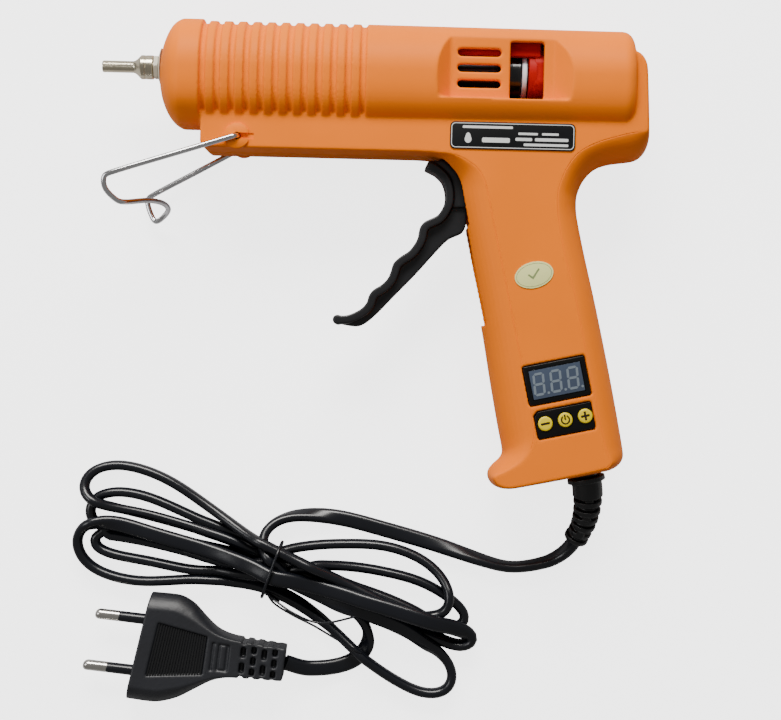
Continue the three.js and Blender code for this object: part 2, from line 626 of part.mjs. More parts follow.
function triggerLever() {
  const web = new THREE.Shape([
    ...TRIGGER_BACK.map(([x, y]) => new THREE.Vector2(x, y)),
    ...FINGER_SIDE.slice().reverse().map(([x, y]) => new THREE.Vector2(x, y)),
  ]);
  const { half } = TRIGGER_FLANGE;
  const hub = barZ(PIVOT.x, PIVOT.y, PIVOT.hub, -PIVOT.hubHalf, PIVOT.hubHalf, 20);
  const neckSide = outline([[106, -38], [113, -32.5], [119.5, -38], [113, -50], [108, -44]]);
  const neck = prism(neckSide, -TRIGGER_WEB, TRIGGER_WEB);
  const reach = driveReach + DRIVE.pinRadius + 0.2;
  const arm = box(-3.4, 3.4, 0, reach, -DRIVE.armHalf, DRIVE.armHalf)
    .subtract(box(
      -DRIVE.pinRadius - DRIVE.play, DRIVE.pinRadius + DRIVE.play,
      driveHeight - DRIVE.pinRadius - 1, reach + 1, -5, 5))
    .rotate([0, 0, (-strokeAngle * 180) / Math.PI])
    .translate([PIVOT.x, PIVOT.y, 0]);
  return prism(web, -TRIGGER_WEB, TRIGGER_WEB)
    .add(prism(flangeBand(), -half, half))
    .add(neck)
    .add(hub)
    .add(arm)
    .subtract(barZ(PIVOT.x, PIVOT.y, PIVOT.radius + GAP, -9, 9, 14));
}

put(gun, 'trigger', triggerLever(), 'black');
const pinHalf = BODY_HALF - WALL - 0.4;
put(gun, 'trigger_pin', barZ(PIVOT.x, PIVOT.y, PIVOT.radius, -pinHalf, pinHalf, 14), 'steel');

function triggerSpring() {
  const radius = PIVOT.hub + 1.1;
  const turns = 2.25;
  const steps = Math.round(turns * 12);
  const points = [[PIVOT.x + radius + 0.2, PIVOT.y + 13, 3.9]];
  for (let i = 0; i <= steps; i += 1) {
    const angle = (i / 12) * 2 * Math.PI;
    const z = 3.9 + (2.6 * i) / steps;
    points.push([PIVOT.x + radius * Math.cos(angle), PIVOT.y + radius * Math.sin(angle), z]);
  }
  points.push([PIVOT.x - 9, PIVOT.y + radius + 0.1, 6.6]);
  return wire(points, 0.45, 6, steps + 6);
}

put(gun, 'trigger_spring', triggerSpring(), 'steel');

// ---------------------------------------------------------------- wire stand

const STAND_POINTS = [
  [STAND.x, STAND.y, BODY_HALF - 3], [STAND.x, STAND.y, LEG_OFFSET - 1.6],
  [STAND.x - 1.5, STAND.y - 0.5, LEG_OFFSET], [10, -32.4, LEG_OFFSET], [-14.6, -40.4, LEG_OFFSET],
  [-17.8, -42.2, 15.8], [-17.4, -46.4, 15], [-13.6, -50.2, 13], [-10.6, -50.6, 10.4], [-4.2, -49, 1],
  [0.2, -49.2, -5.6], [1.9, -51, -9.6], [0, -53.4, -13], [-3.4, -55.3, -15.2], [-5.6, -52.2, -16],
  [-6.8, -47.4, -LEG_OFFSET], [-4.3, -45, -LEG_OFFSET], [12, -35.9, -LEG_OFFSET],
  [STAND.x - 1.4, STAND.y - 0.8, -LEG_OFFSET], [STAND.x, STAND.y, -LEG_OFFSET + 1.6],
  [STAND.x, STAND.y, -BODY_HALF + 3],
];
put(gun, 'wire_stand', wire(STAND_POINTS, STAND.wire, 6, 56, 0.3), 'chrome');

// ---------------------------------------------------------------- label, sticker, display and buttons

put(gun, 'label_plate', prism(
  roundedRectangle(LABEL.width, LABEL.height, LABEL.corner),
  BODY_HALF + STUCK_ON, BODY_HALF + STUCK_ON + LABEL.thickness, 4,
).translate([LABEL.x, LABEL.y, 0]), 'label');

const oval = new THREE.Shape();
oval.absellipse(0, 0, STICKER.width / 2, STICKER.height / 2, 0, 2 * Math.PI, false, STICKER.turn);
put(gun, 'inspection_sticker', prism(
  oval, BODY_HALF + STUCK_ON, BODY_HALF + STUCK_ON + STICKER.thickness, 16,
).translate([STICKER.x, STICKER.y, 0]), 'sticker');

const displayTop = BODY_HALF + DISPLAY.proud;
const lensWidth = DISPLAY.width - 3;
const lensHeight = DISPLAY.height - 3;
const displayBack = displayTop - DISPLAY.depth;
const displayBlock = turnedBox(DISPLAY, DISPLAY.width, DISPLAY.height, displayBack, displayTop);
const displayWell = turnedBox(DISPLAY, lensWidth, lensHeight, displayTop - 1.4, displayTop + 1);
put(gun, 'display_frame', displayBlock.subtract(displayWell), 'black');
put(gun, 'display_window', turnedBox(
  DISPLAY, lensWidth - 2 * GAP, lensHeight - 2 * GAP, displayTop - 1.4 + GAP, displayTop - 0.2,
), 'lens');

const panelTop = BODY_HALF + PANEL.proud;
let panel = onPanel(prism(panelShape(0), panelTop - PANEL.thickness, panelTop));
const buttonPlaces = [-1, 0, 1].map((i) => {
  const along = i * BUTTON.pitch + 0.3;
  const across = 0.2;
  return {
    x: PANEL.x + along * Math.cos(RAKE) - across * Math.sin(RAKE),
    y: PANEL.y + along * Math.sin(RAKE) + across * Math.cos(RAKE),
  };
});
for (const place of buttonPlaces) {
  panel = panel.subtract(barZ(place.x, place.y, BUTTON.radius + GAP, 8, 20, 18));
}
put(gun, 'button_panel', panel, 'black');

const boardTop = displayBack - GAP;
const switchTop = boardTop + 2.2;
['button_minus', 'button_power', 'button_plus'].forEach((name, i) => {
  const { x, y } = buttonPlaces[i];
  const flangeTop = panelTop - PANEL.thickness - GAP;
  const cap = barZ(x, y, BUTTON.radius, flangeTop - 0.5, panelTop + BUTTON.proud, 16);
  const flange = barZ(x, y, BUTTON.flange, flangeTop - 0.8, flangeTop, 14);
  put(gun, name, cap.add(flange), 'yellow');
});

let board = turnedBox(BOARD, BOARD.width, BOARD.height, boardTop - BOARD.thickness, boardTop);
for (const { x, y } of buttonPlaces) {
  board = board.add(box(x - 2.4, x + 2.4, y - 2.4, y + 2.4, boardTop - 0.2, switchTop));
}
put(gun, 'control_board', board, 'board');

// ---------------------------------------------------------------- cord clamp, inner lead and strain relief

const inwards = { x: -Math.sin(RAKE), y: Math.cos(RAKE) }; // up the handle
const clampAt = { x: RELIEF.x + inwards.x * 12, y: RELIEF.y + inwards.y * 12 };

function tilted(body) {
  return body.rotate([0, 0, (RAKE * 180) / Math.PI]).translate([clampAt.x, clampAt.y, 0]);
}

const clampHalf = 8.2;
put(gun, 'cord_clamp', tilted(
  prism(roundedRectangle(2 * clampHalf, 5, 1.2), LEAD_RADIUS + GAP, LEAD_RADIUS + GAP + 2.4, 3)
    .subtract(barZ(-5.6, 0, 1.6, 0, 8, 12))
    .subtract(barZ(5.6, 0, 1.6, 0, 8, 12)),
), 'black');
[-5.6, 5.6].forEach((along, i) => {
  const head = barZ(along, 0, 2.2, LEAD_RADIUS + 2 * GAP + 2.4, LEAD_RADIUS + 2 * GAP + 3.8, 12);
  const shank = barZ(along, 0, 1.2, -6, LEAD_RADIUS + 2 * GAP + 2.6, 10);
  put(gun, `cord_clamp_screw_${i + 1}`, tilted(head.add(shank)), 'steel');
});

const innerEnd = {
  x: RELIEF.x + inwards.x * (RELIEF.inside + GAP),
  y: RELIEF.y + inwards.y * (RELIEF.inside + GAP),
};
put(gun, 'inner_lead', wire([
  [innerEnd.x, innerEnd.y, 0], [clampAt.x, clampAt.y, 0],
  [clampAt.x - 3, clampAt.y + 9, 0], [clampAt.x - 6, clampAt.y + 17, 2],
], LEAD_RADIUS, 8, 10), 'rubber');

// centre line of the strain relief: straight out of the handle's base, then bending down to the table
const RELIEF_LINE = [
  [RELIEF.x + inwards.x * RELIEF.inside, RELIEF.y + inwards.y * RELIEF.inside, 0],
  [RELIEF.x, RELIEF.y, 0],
  [160, -151.5, -0.8],
  [160.3, -158, -3.2],
  [159.4, -164.6, -7],
  [157.2, -170.4, -11],
];

// segments along the relief: [start, end, half width] as shares of its length
const RELIEF_SEGMENTS = [[0, 0.06, 5.6], [0.05, 0.27, 4], [0.26, 0.31, 7], [0.29, 0.42, 5.7]];

function strainRelief() {
  const path = new THREE.CatmullRomCurve3(RELIEF_LINE.map((p) => new THREE.Vector3(...p)));
  const part = (from, to, half, steps) => {
    const points = [];
    for (let i = 0; i <= 4; i += 1) points.push(path.getPoint(from + ((to - from) * i) / 4));
    const section = new THREE.Shape();
    section.absarc(0, 0, half, 0, 2 * Math.PI);
    const piece = new THREE.CatmullRomCurve3(points);
    return solid(new THREE.ExtrudeGeometry(section, { steps, extrudePath: piece, curveSegments: 5 }));
  };
  let body = part(0, 1, 3.4, 10);
  for (const [from, to, half] of RELIEF_SEGMENTS) body = body.add(part(from, to, half, 2));
  for (let i = 0; i < 5; i += 1) {
    const from = 0.45 + i * 0.1;
    body = body.add(part(from, from + 0.055, 5.3 - 0.25 * i, 1));
  }
  return body.add(part(0.94, 1, 4.9, 1));
}

put(gun, 'strain_relief', strainRelief(), 'rubber');

// ---------------------------------------------------------------- lead, hank, tie and plug
// x and y from the gun's origin, the third number is the height above the table

function laid(points) {
  return points.map(([x, y, height]) => [x, y, TABLE_Z + height]);
}

const LEAD_LINE = laid([
  [157.05, -170.85, 8.65], [155.6, -173.6, 6.8], [152, -177.4, 4.4], [146.6, -180.4, 2.9],
  [139.6, -182.2, 2.4], [131.6, -182.6, 2.4], [120.6, -179.6, 2.4], [104, -174.4, 2.4],
  [84.6, -169.3, 2.4], [71.2, -166, 2.4], [60.6, -164.7, 2.4], [51.6, -165.4, 2.4],
  [44.6, -168.2, 2.4], [40.8, -170.6, 2.6], [39.4, -172.5, 2.8],
]);
put(lead, 'lead', wire(LEAD_LINE, LEAD_RADIUS, 8, 34), 'rubber');

// two bundles of loops either side of a narrow waist, where the tie holds them
const HANK = {
  leftX: -8.7, leftY: -169.4, leftRadius: 21.4,
  rightX: 93.7, rightY: -204.2, rightRadius: 29.3,
  waist: 9, waistHalf: 8,
};

function hankOutline() {
  const shape = new THREE.Shape();
  const lean = TIE.turn;
  const corner = (along, across) => [
    TIE.x + Math.cos(lean) * along - Math.sin(lean) * across,
    TIE.y + Math.sin(lean) * along + Math.cos(lean) * across,
  ];
  const { waist, waistHalf } = HANK;
  shape.moveTo(...corner(-waistHalf, -waist));
  shape.lineTo(...corner(waistHalf, -waist));
  shape.absarc(HANK.rightX, HANK.rightY, HANK.rightRadius, lean - 2.2, lean + 1.95);
  shape.lineTo(...corner(waistHalf, waist));
  shape.lineTo(...corner(-waistHalf, waist));
  shape.absarc(HANK.leftX, HANK.leftY, HANK.leftRadius, lean + 1.45, lean + 4.75);
  shape.closePath();
  return shape;
}

const tieWidth = 2 * HANK.waist + 2 * TIE.wire + 2 * GAP;
const tieHeight = HANK_HEIGHT + TIE.wire + GAP;
const tieShape = roundedRectangle(tieWidth, tieHeight, 1.3);
tieShape.holes.push(roundedRectangle(tieWidth - 2 * TIE.wire, tieHeight - 2 * TIE.wire, 0.2));

function acrossHank(body) {
  return body
    .rotate([90, 0, 90 + (TIE.turn * 180) / Math.PI])
    .translate([TIE.x, TIE.y, TABLE_Z + tieHeight / 2]);
}

// groove under the hank, where the tie passes
const underTie = -tieHeight / 2 + TIE.wire + GAP;
const tieSpace = acrossHank(box(
  -HANK.waist - 2, HANK.waist + 2, -tieHeight / 2 - 1, underTie, -TIE.width, TIE.width,
));
const hankBlock = prism(hankOutline(), TABLE_Z, TABLE_Z + HANK_HEIGHT, 16);
put(lead, 'cord_hank', hankBlock.subtract(tieSpace), 'rubber');
put(lead, 'twist_tie', acrossHank(prism(tieShape, -TIE.width / 2, TIE.width / 2, 4)), 'rubber');

const TAIL_LINE = laid([
  [50.2, -220, 6.4], [53, -221, 5.4], [57, -222, 3.6],
  [61, -222.3, 2.5], [64, -222.2, 2.4], [66.8, -221.6, 2.4],
]);
put(lead, 'lead_tail', wire(TAIL_LINE, LEAD_RADIUS, 8, 8), 'rubber');

// the plug's own frame: x from the relief's end towards the pins
const PLUG_SIDE = [
  [0, 6.1], [17, 7.3], [21.5, 8], [26.5, 10], [32, 14], [37, 17.8], [42, 20], [PLUG.length, 20.4],
];

function plugBody() {
  const side = PLUG_SIDE.map(([x, y]) => new THREE.Vector2(x, y));
  const curve = new THREE.SplineCurve(side.slice(1, 7)).getPoints(10);
  const upper = [side[0], ...curve, side[7]];
  const lower = upper.map((p) => new THREE.Vector2(p.x, -p.y)).reverse();
  const shape = new THREE.Shape([...lower, ...upper]);
  const geometry = new THREE.ExtrudeGeometry(shape, {
    depth: 2 * PLUG.half - 4,
    bevelEnabled: true,
    bevelThickness: 2,
    bevelSize: 2,
    bevelOffset: -2,
    bevelSegments: 2,
  });
  geometry.translate(0, 0, -PLUG.half + 2);
  let body = solid(geometry);
  for (let i = 0; i < 4; i += 1) {
    const x = 2.8 + i * 3.7;
    for (const side2 of [-1, 1]) {
      const y0 = side2 > 0 ? 1.4 : -9;
      body = body.subtract(box(x, x + 1.8, y0, y0 + 7.6, PLUG.half - 1.9, PLUG.half + 1));
      body = body.subtract(box(x, x + 1.8, y0, y0 + 7.6, -PLUG.half - 1, -PLUG.half + 1.9));
    }
  }
  for (const side2 of [-1, 1]) {
    body = body.subtract(plugPin(side2, GAP, 0.2));
  }
  return body;
}

// pin with its insulating sleeve and a root inside the plug
function plugPin(side, grow, clear) {
  const { radius, length, sleeve, sleeveRadius } = PIN;
  const front = PLUG.length;
  const tip = front + length;
  const profile = grow
    ? [[front - 6 - grow, 0], [front - 6 - grow, radius + clear], [front + 1, radius + clear], [front + 1, 0]]
    : [
      [front - 6, 0], [front - 6, sleeveRadius], [front + sleeve, sleeveRadius], [front + sleeve, radius],
      [tip - 1.6, radius], [tip - 0.7, radius * 0.8], [tip - 0.15, radius * 0.45], [tip, 0],
    ];
  return turned(profile, 0, 14).translate([0, (side * PIN.spacing) / 2, 0]);
}

function placePlug(body) {
  return body
    .rotate([0, 0, 180 + (PLUG.turn * 180) / Math.PI])
    .translate([PLUG.x, PLUG.y, TABLE_Z + PLUG.half]);
}

put(lead, 'plug_body', placePlug(plugBody()), 'rubber');
put(lead, 'plug_pin_lower', placePlug(plugPin(1, 0, 0)), 'chrome');
put(lead, 'plug_pin_upper', placePlug(plugPin(-1, 0, 0)), 'chrome');

// ---------------------------------------------------------------- assembly

// the gun without its lead stands on the origin: centre of its base
const extent = new THREE.Box3().setFromObject(gun);
const model = new THREE.Group();
model.add(gun, lead);
model.position.set(-(extent.min.x + extent.max.x) / 2, -(extent.min.y + extent.max.y) / 2, -TABLE_Z);

export default model;
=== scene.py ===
"""Glue gun lying on its right side, with its flat lead tied in a hank and a two-pin plug.

The gun is drawn in millimetres from its own origin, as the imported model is: the origin is on the
glue stick's axis, at the nose's front face and on the split plane; x runs to the back, y up to the
barrel and z up from the table. `finished` moves each piece into the row frame, in metres.
"""
import math

import bmesh
import bpy
import numpy as np
from mathutils import Matrix, Vector


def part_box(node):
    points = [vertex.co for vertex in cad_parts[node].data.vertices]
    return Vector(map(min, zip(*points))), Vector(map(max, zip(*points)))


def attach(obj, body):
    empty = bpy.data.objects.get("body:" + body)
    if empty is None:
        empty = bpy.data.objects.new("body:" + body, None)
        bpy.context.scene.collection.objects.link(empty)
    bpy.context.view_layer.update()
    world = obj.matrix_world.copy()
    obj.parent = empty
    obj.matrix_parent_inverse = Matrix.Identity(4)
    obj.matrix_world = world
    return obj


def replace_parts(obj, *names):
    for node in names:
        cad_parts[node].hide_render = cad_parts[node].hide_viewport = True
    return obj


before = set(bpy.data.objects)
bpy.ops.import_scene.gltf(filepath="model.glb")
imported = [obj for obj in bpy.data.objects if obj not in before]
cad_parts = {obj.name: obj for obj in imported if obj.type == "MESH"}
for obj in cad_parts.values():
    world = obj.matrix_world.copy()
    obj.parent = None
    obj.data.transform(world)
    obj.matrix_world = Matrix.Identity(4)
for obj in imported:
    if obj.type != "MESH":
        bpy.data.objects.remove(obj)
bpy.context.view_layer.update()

# ---------------------------------------------------------------- places and sizes, in millimetres

MM = 0.001
NOZZLE_TIP_X = -22.1
nozzle_low, nozzle_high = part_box("nozzle")
ORIGIN = Vector((
    nozzle_low[0] - NOZZLE_TIP_X * MM,
    (nozzle_low[1] + nozzle_high[1]) / 2,
    (nozzle_low[2] + nozzle_high[2]) / 2,
))
TO_ROW = Matrix.Translation(ORIGIN) @ Matrix.Scale(MM, 4)

GAP = 0.3
WALL = 2.2
BARREL_DROP = 2.05
CAP_RADIUS = 20
RIB_RADIUS = 19.4
RIB_PITCH = 5.22
RIB_COUNT = 11
GROOVE_WIDTH = 2.4
GROOVE_DEPTH = 1.1
FIRST_GROOVE_X = 15.4
BARREL_REAR_RADIUS = 19
BARREL_REAR_X = 172.3
BARREL_REAR_FILLET = 4.2
SPACE_RADIUS = 16.9
BARREL_FULLNESS = 2.85  # the barrel's underside is squarer than a circle, which is 2
BODY_HALF = 14
RAKE = math.radians(12.5)
TABLE_Z = -CAP_RADIUS

# window pocket: floor height, its flat floor's ends, lower end and the slopes at both ends
POCKET_FLOOR, POCKET_LEFT, POCKET_RIGHT, POCKET_BOTTOM = 13.5, 105.3, 142.6, -11
SLOPE_LEFT, SLOPE_RIGHT = 5.5, 7.8
VENT_LEFT, VENT_RIGHT, VENT_HEIGHT, VENT_PITCH, VENT_MIDDLE = 107.8, 123.6, 2.85, 5.65, 0.35
WINDOW_LEFT, WINDOW_RIGHT, WINDOW_BOTTOM, WINDOW_TOP = 126.8, 139, -10.7, 10.2

PIVOT_X, PIVOT_Y, PIVOT_RADIUS = 116.3, -35.4, 2
FLANGE_HALF, FLANGE_THICK, WEB_HALF, SHOULDER_HALF = 6, 3, 3, 4.6
SLOT_PLAY, SPRING_ROOM = 0.5, 7.6
STAND_X, STAND_Y, STAND_WIRE, STAND_BOSS = 29.2, -26.2, 1, 4.6
BOSS_HEIGHT = 0.9
LEG_OFFSET = BODY_HALF + BOSS_HEIGHT + GAP + STAND_WIRE
DISPLAY_X, DISPLAY_Y, DISPLAY_WIDTH, DISPLAY_HEIGHT, DISPLAY_TOP = 146.2, -111.4, 22.4, 14.1, 14.3
PANEL_X, PANEL_Y, PANEL_WIDTH, PANEL_HEIGHT, PANEL_CUT, PANEL_TOP = 149.3, -125.6, 20.7, 9.6, 1.6, 14.3
BUTTON_RADIUS, BUTTON_PITCH, BUTTON_PROUD = 2.62, 7.3, 0.7
LABEL_X, LABEL_Y, LABEL_WIDTH, LABEL_HEIGHT = 128.2, -24, 45, 9.8
STICKER_X, STICKER_Y, STICKER_WIDTH, STICKER_HEIGHT, STICKER_TURN = 137.1, -73.6, 14.2, 9.4, 0.28
SCREW_PLACES = [(52, -23.8), (92, -23.8), (166, -18), (142, -62), (139.5, -90.5), (138, -142)]
RELIEF_X, RELIEF_Y = 159, -145.9

CORD_WIDTH, CORD_THICK = 6.0, 3.6
TIE_X, TIE_Y, TIE_TURN, TIE_RADIUS = 43.7, -185.4, -0.33, 0.55
TIE_ABOVE, TIE_BESIDE = 3.4, 2.6  # past the outer strands' middles
TIE_SEARCH, TIE_REACH = 2.5, 13  # strands this near the tie, along and across, are inside it
PLUG_X, PLUG_Y, PLUG_TURN, PLUG_LENGTH, PLUG_HALF = 49.3, -219.9, math.radians(-5.5), 55, 6.8
PIN_RADIUS, PIN_LENGTH, PIN_SPACING, PIN_SLEEVE, PIN_ROUND = 2, 19, 19.6, 10, 1.9

# ---------------------------------------------------------------- camera, floor and light

CAMERA_PLACE, CAMERA_TURN, CAMERA_LENS = (86.3, -105.4, 600), 0.0244, 75.2


def make_camera():
    data = bpy.data.cameras.new("camera")
    data.sensor_width = 36
    data.lens = CAMERA_LENS
    data.clip_start = 0.01
    data.clip_end = 20
    camera = bpy.data.objects.new("camera", data)
    camera.location = ORIGIN + Vector(CAMERA_PLACE) * MM
    camera.rotation_euler = (0, 0, CAMERA_TURN)
    bpy.context.collection.objects.link(camera)
    bpy.context.scene.camera = camera


def soft_light(name, place, target, size, power, colour=(1, 1, 1)):
    data = bpy.data.lights.new(name, "AREA")
    data.shape = "RECTANGLE"
    data.size, data.size_y = size
    data.energy = power
    data.color = colour
    light = bpy.data.objects.new(name, data)
    light.location = place
    direction = Vector(target) - Vector(place)
    light.rotation_euler = direction.to_track_quat("-Z", "Y").to_euler()
    bpy.context.collection.objects.link(light)


def make_world(strength):
    world = bpy.data.worlds.new("studio")
    world.use_nodes = True
    background = world.node_tree.nodes["Background"]
    background.inputs["Color"].default_value = (1, 0.98, 0.95, 1)
    background.inputs["Strength"].default_value = strength
    bpy.context.scene.world = world


# ---------------------------------------------------------------- finishes


def linear(red, green, blue):
    """Screen colour to the linear colour that shaders take."""
    def one(value):
        return value / 12.92 if value <= 0.04045 else ((value + 0.055) / 1.055) ** 2.4
    return (one(red), one(green), one(blue), 1)


class Finish:
    """A node material on object coordinates: colour variation, roughness variation and fine relief."""

    def __init__(self, name, rough, metal=0.0, **sockets):
        self.material = bpy.data.materials.new(name)
        self.material.use_nodes = True
        self.nodes = self.material.node_tree.nodes
        self.links = self.material.node_tree.links
        self.shader = self.nodes["Principled BSDF"]
        self.shader.inputs["Roughness"].default_value = rough
        self.shader.inputs["Metallic"].default_value = metal
        for socket, value in sockets.items():
            self.shader.inputs[socket.replace("_", " ")].default_value = value
        self.where = self.nodes.new("ShaderNodeTexCoord").outputs["Object"]

    def stretched(self, scale):
        mapping = self.nodes.new("ShaderNodeMapping")
        mapping.inputs["Scale"].default_value = scale
        self.links.new(self.where, mapping.inputs["Vector"])
        return mapping.outputs["Vector"]

    def noise(self, scale, detail=3.0, vector=None, rough=0.5):
        node = self.nodes.new("ShaderNodeTexNoise")
        node.inputs["Scale"].default_value = scale
        node.inputs["Detail"].default_value = detail
        node.inputs["Roughness"].default_value = rough
        self.links.new(vector or self.where, node.inputs["Vector"])
        return node.outputs["Fac"]

    def cells(self, scale):
        node = self.nodes.new("ShaderNodeTexVoronoi")
        node.inputs["Scale"].default_value = scale
        self.links.new(self.where, node.inputs["Vector"])
        return node.outputs["Distance"]

    def ramp(self, value, low, high, start=0.35, end=0.65):
        node = self.nodes.new("ShaderNodeValToRGB")
        node.color_ramp.elements[0].position = start
        node.color_ramp.elements[0].color = low
        node.color_ramp.elements[1].position = end
        node.color_ramp.elements[1].color = high
        self.links.new(value, node.inputs["Fac"])
        return node.outputs["Color"]

    def between(self, value, low, high):
        node = self.nodes.new("ShaderNodeMapRange")
        node.inputs["To Min"].default_value = low
        node.inputs["To Max"].default_value = high
        self.links.new(value, node.inputs["Value"])
        return node.outputs["Result"]

    def colour(self, value):
        self.links.new(value, self.shader.inputs["Base Color"])

    def roughness(self, value):
        self.links.new(value, self.shader.inputs["Roughness"])

    def relief(self, *layers):
        """Each layer is (height value, strength, distance in metres), laid one over the other."""
        normal = None
        for value, strength, distance in layers:
            bump = self.nodes.new("ShaderNodeBump")
            bump.inputs["Strength"].default_value = strength
            bump.inputs["Distance"].default_value = distance
            self.links.new(value, bump.inputs["Height"])
            if normal:
                self.links.new(normal, bump.inputs["Normal"])
            normal = bump.outputs["Normal"]
        self.links.new(normal, self.shader.inputs["Normal"])


def varied(colour, lower, upper):
    return tuple(c * lower for c in colour[:3]) + (1,), tuple(c * upper for c in colour[:3]) + (1,)


def plastic(name, colour, rough, grain=1500.0, depth=0.3, spread=0.04, **sockets):
    """Moulded plastic: spark-eroded grain, slow tone drift and handled patches of gloss."""
    f = Finish(name, rough, **sockets)
    f.colour(f.ramp(f.noise(28, 4), *varied(colour, 1 - spread, 1 + spread)))
    f.roughness(f.between(f.noise(60, 5), rough - 0.07, rough + 0.07))
    f.relief((f.noise(grain, 2), depth, 0.00006), (f.cells(grain * 0.7), depth * 0.5, 0.00004))
    return f.material


def metal(name, colour, rough, lines=(1, 1, 1), grain=900.0, depth=0.12):
    """Drawn or turned metal: fine lines along one direction and a faint tarnish."""
    f = Finish(name, rough, 1.0)
    f.colour(f.ramp(f.noise(120, 3), *varied(colour, 0.9, 1.04)))
    streaks = f.noise(grain, 2, f.stretched(lines))
    f.roughness(f.between(streaks, max(rough - 0.06, 0.03), rough + 0.1))
    f.relief((streaks, depth, 0.00003))
    return f.material


ORANGE = plastic("orange_housing", linear(0.97, 0.485, 0.0), 0.5, 1300, 0.22, 0.03,
                 Specular_IOR_Level=0.1)
BLACK = plastic("black_lever", linear(0.07, 0.073, 0.085), 0.4, 1400, 0.25, 0.12)
PANEL_BLACK = plastic("black_panel", linear(0.02, 0.02, 0.023), 0.34, 1800, 0.15, 0.1,
                      Specular_IOR_Level=0.3)
PLUG_BLACK = plastic("plug_grain", linear(0.12, 0.125, 0.145), 0.46, 620, 1.0, 0.2)
CORD_BLACK = plastic("cord_sheath", linear(0.055, 0.063, 0.088), 0.27, 700, 0.12, 0.12)
RUBBER = plastic("relief_rubber", linear(0.045, 0.048, 0.056), 0.4, 1100, 0.3, 0.15)
WHITE = plastic("white_ring", linear(0.93, 0.92, 0.95), 0.4, 1500, 0.1, 0.02)
PALE = plastic("pale_collar", linear(0.80, 0.77, 0.69), 0.55, 1500, 0.3, 0.05)
RED = plastic("red_carriage", linear(0.66, 0.02, 0.0), 0.5, 1500, 0.15, 0.05, Specular_IOR_Level=0.15)
YELLOW = plastic("yellow_button", linear(0.9, 0.8, 0.0), 0.36, 1800, 0.08, 0.03)
GLOSS_SLEEVE = plastic("silicone_sleeve", linear(0.07, 0.072, 0.08), 0.2, 900, 0.08, 0.1)
LABEL_DARK = plastic("label_ground", linear(0.06, 0.065, 0.075), 0.36, 2200, 0.06, 0.06,
                     Specular_IOR_Level=0.3)
LABEL_LIGHT = plastic("label_print", linear(0.86, 0.87, 0.87), 0.4, 2200, 0.05, 0.03)
STICKER_PAPER = plastic("sticker_paper", linear(0.89, 0.90, 0.6), 0.5, 2600, 0.1, 0.03)
STICKER_INK = plastic("sticker_ink", linear(0.50, 0.56, 0.36), 0.5, 2600, 0.05, 0.05)
SYMBOL_INK = plastic("symbol_ink", linear(0.14, 0.09, 0.02), 0.4, 2600, 0.05, 0.05)
LENS = plastic("display_lens", linear(0.25, 0.29, 0.36), 0.2, 2600, 0.03, 0.06)
DIGIT = plastic("unlit_segment", linear(0.43, 0.47, 0.51), 0.35, 2600, 0.04, 0.03)
BOARD = plastic("solder_mask", linear(0.11, 0.35, 0.2), 0.4, 1500, 0.2, 0.08)
MICA = plastic("insulating_sleeve", linear(0.80, 0.73, 0.56), 0.7, 500, 0.8, 0.12)
CHROME = metal("bright_wire", linear(0.86, 0.86, 0.87), 0.14, (1, 1, 1), 500, 0.05)
PLATED = metal("plated_nozzle", linear(0.82, 0.78, 0.69), 0.22, (6, 1, 1), 300, 0.02)
PIN_METAL = metal("pin_metal", linear(0.82, 0.81, 0.79), 0.2, (0.2, 1, 1), 300, 0.02)
STEEL = metal("zinc_steel", linear(0.68, 0.69, 0.71), 0.34, (1, 1, 1), 800, 0.15)
ALUMINIUM = metal("cast_aluminium", linear(0.72, 0.73, 0.74), 0.42, (1, 1, 1), 300, 0.4)

# ---------------------------------------------------------------- mesh helpers


def mesh_object(name, vertices, faces):
    mesh = bpy.data.meshes.new(name)
    mesh.from_pydata([tuple(v) for v in vertices], [], faces)
    return linked(name, mesh)


def linked(name, mesh):
    obj = bpy.data.objects.new(name, mesh)
    bpy.context.collection.objects.link(obj)
    return obj


def closed(obj):
    """Merges doubles, cuts faces into triangles and turns them all outwards."""
    bm = bmesh.new()
    bm.from_mesh(obj.data)
    bmesh.ops.remove_doubles(bm, verts=bm.verts, dist=1e-4)
    bmesh.ops.dissolve_degenerate(bm, edges=bm.edges, dist=1e-5)
    bmesh.ops.triangulate(bm, faces=bm.faces, ngon_method="EAR_CLIP")
    bmesh.ops.recalc_face_normals(bm, faces=bm.faces)
    bm.to_mesh(obj.data)
    bm.free()
    return obj


def grid_solid(name, rings, wrap=False):
    """Closed solid through rings of equal length; the ends are capped, or joined when wrap is set."""
    count = len(rings[0])
    vertices = [v for ring in rings for v in ring]
    faces = []
    last = len(rings) if wrap else len(rings) - 1
    for i in range(last):
        a = i * count
        b = ((i + 1) % len(rings)) * count
        for k in range(count):
            n = (k + 1) % count
            faces.append((a + k, a + n, b + n, b + k))
    if not wrap:
        faces.append(tuple(range(count))[::-1])
        faces.append(tuple((len(rings) - 1) * count + k for k in range(count)))
    return closed(mesh_object(name, vertices, faces))


def turned(name, profile, sides=96, drop=0.0, wrap=False, fullness=2.0):
    """Body about x from (x, radius) points; round, or squarer below its axis with more `fullness`."""
    section = []
    for k in range(sides):
        y, z = math.cos(2 * math.pi * k / sides), math.sin(2 * math.pi * k / sides)
        if y < 0:
            out = (abs(y) ** fullness + abs(z) ** fullness) ** (-1 / fullness)
            y, z = y * out, z * out
        section.append((y, z))
    rings = [[(x, -drop + radius * y, radius * z) for y, z in section] for x, radius in profile]
    return grid_solid(name, rings, wrap)


def bar_x(radius, x0, x1, drop=0.0, sides=72):
    return turned("bar", [(x0, 0), (x0, radius), (x1, radius), (x1, 0)], sides, drop)


def circle(radius, sides, x=0.0, y=0.0):
    turns = [2 * math.pi * k / sides for k in range(sides)]
    return [(x + radius * math.cos(turn), y + radius * math.sin(turn)) for turn in turns]


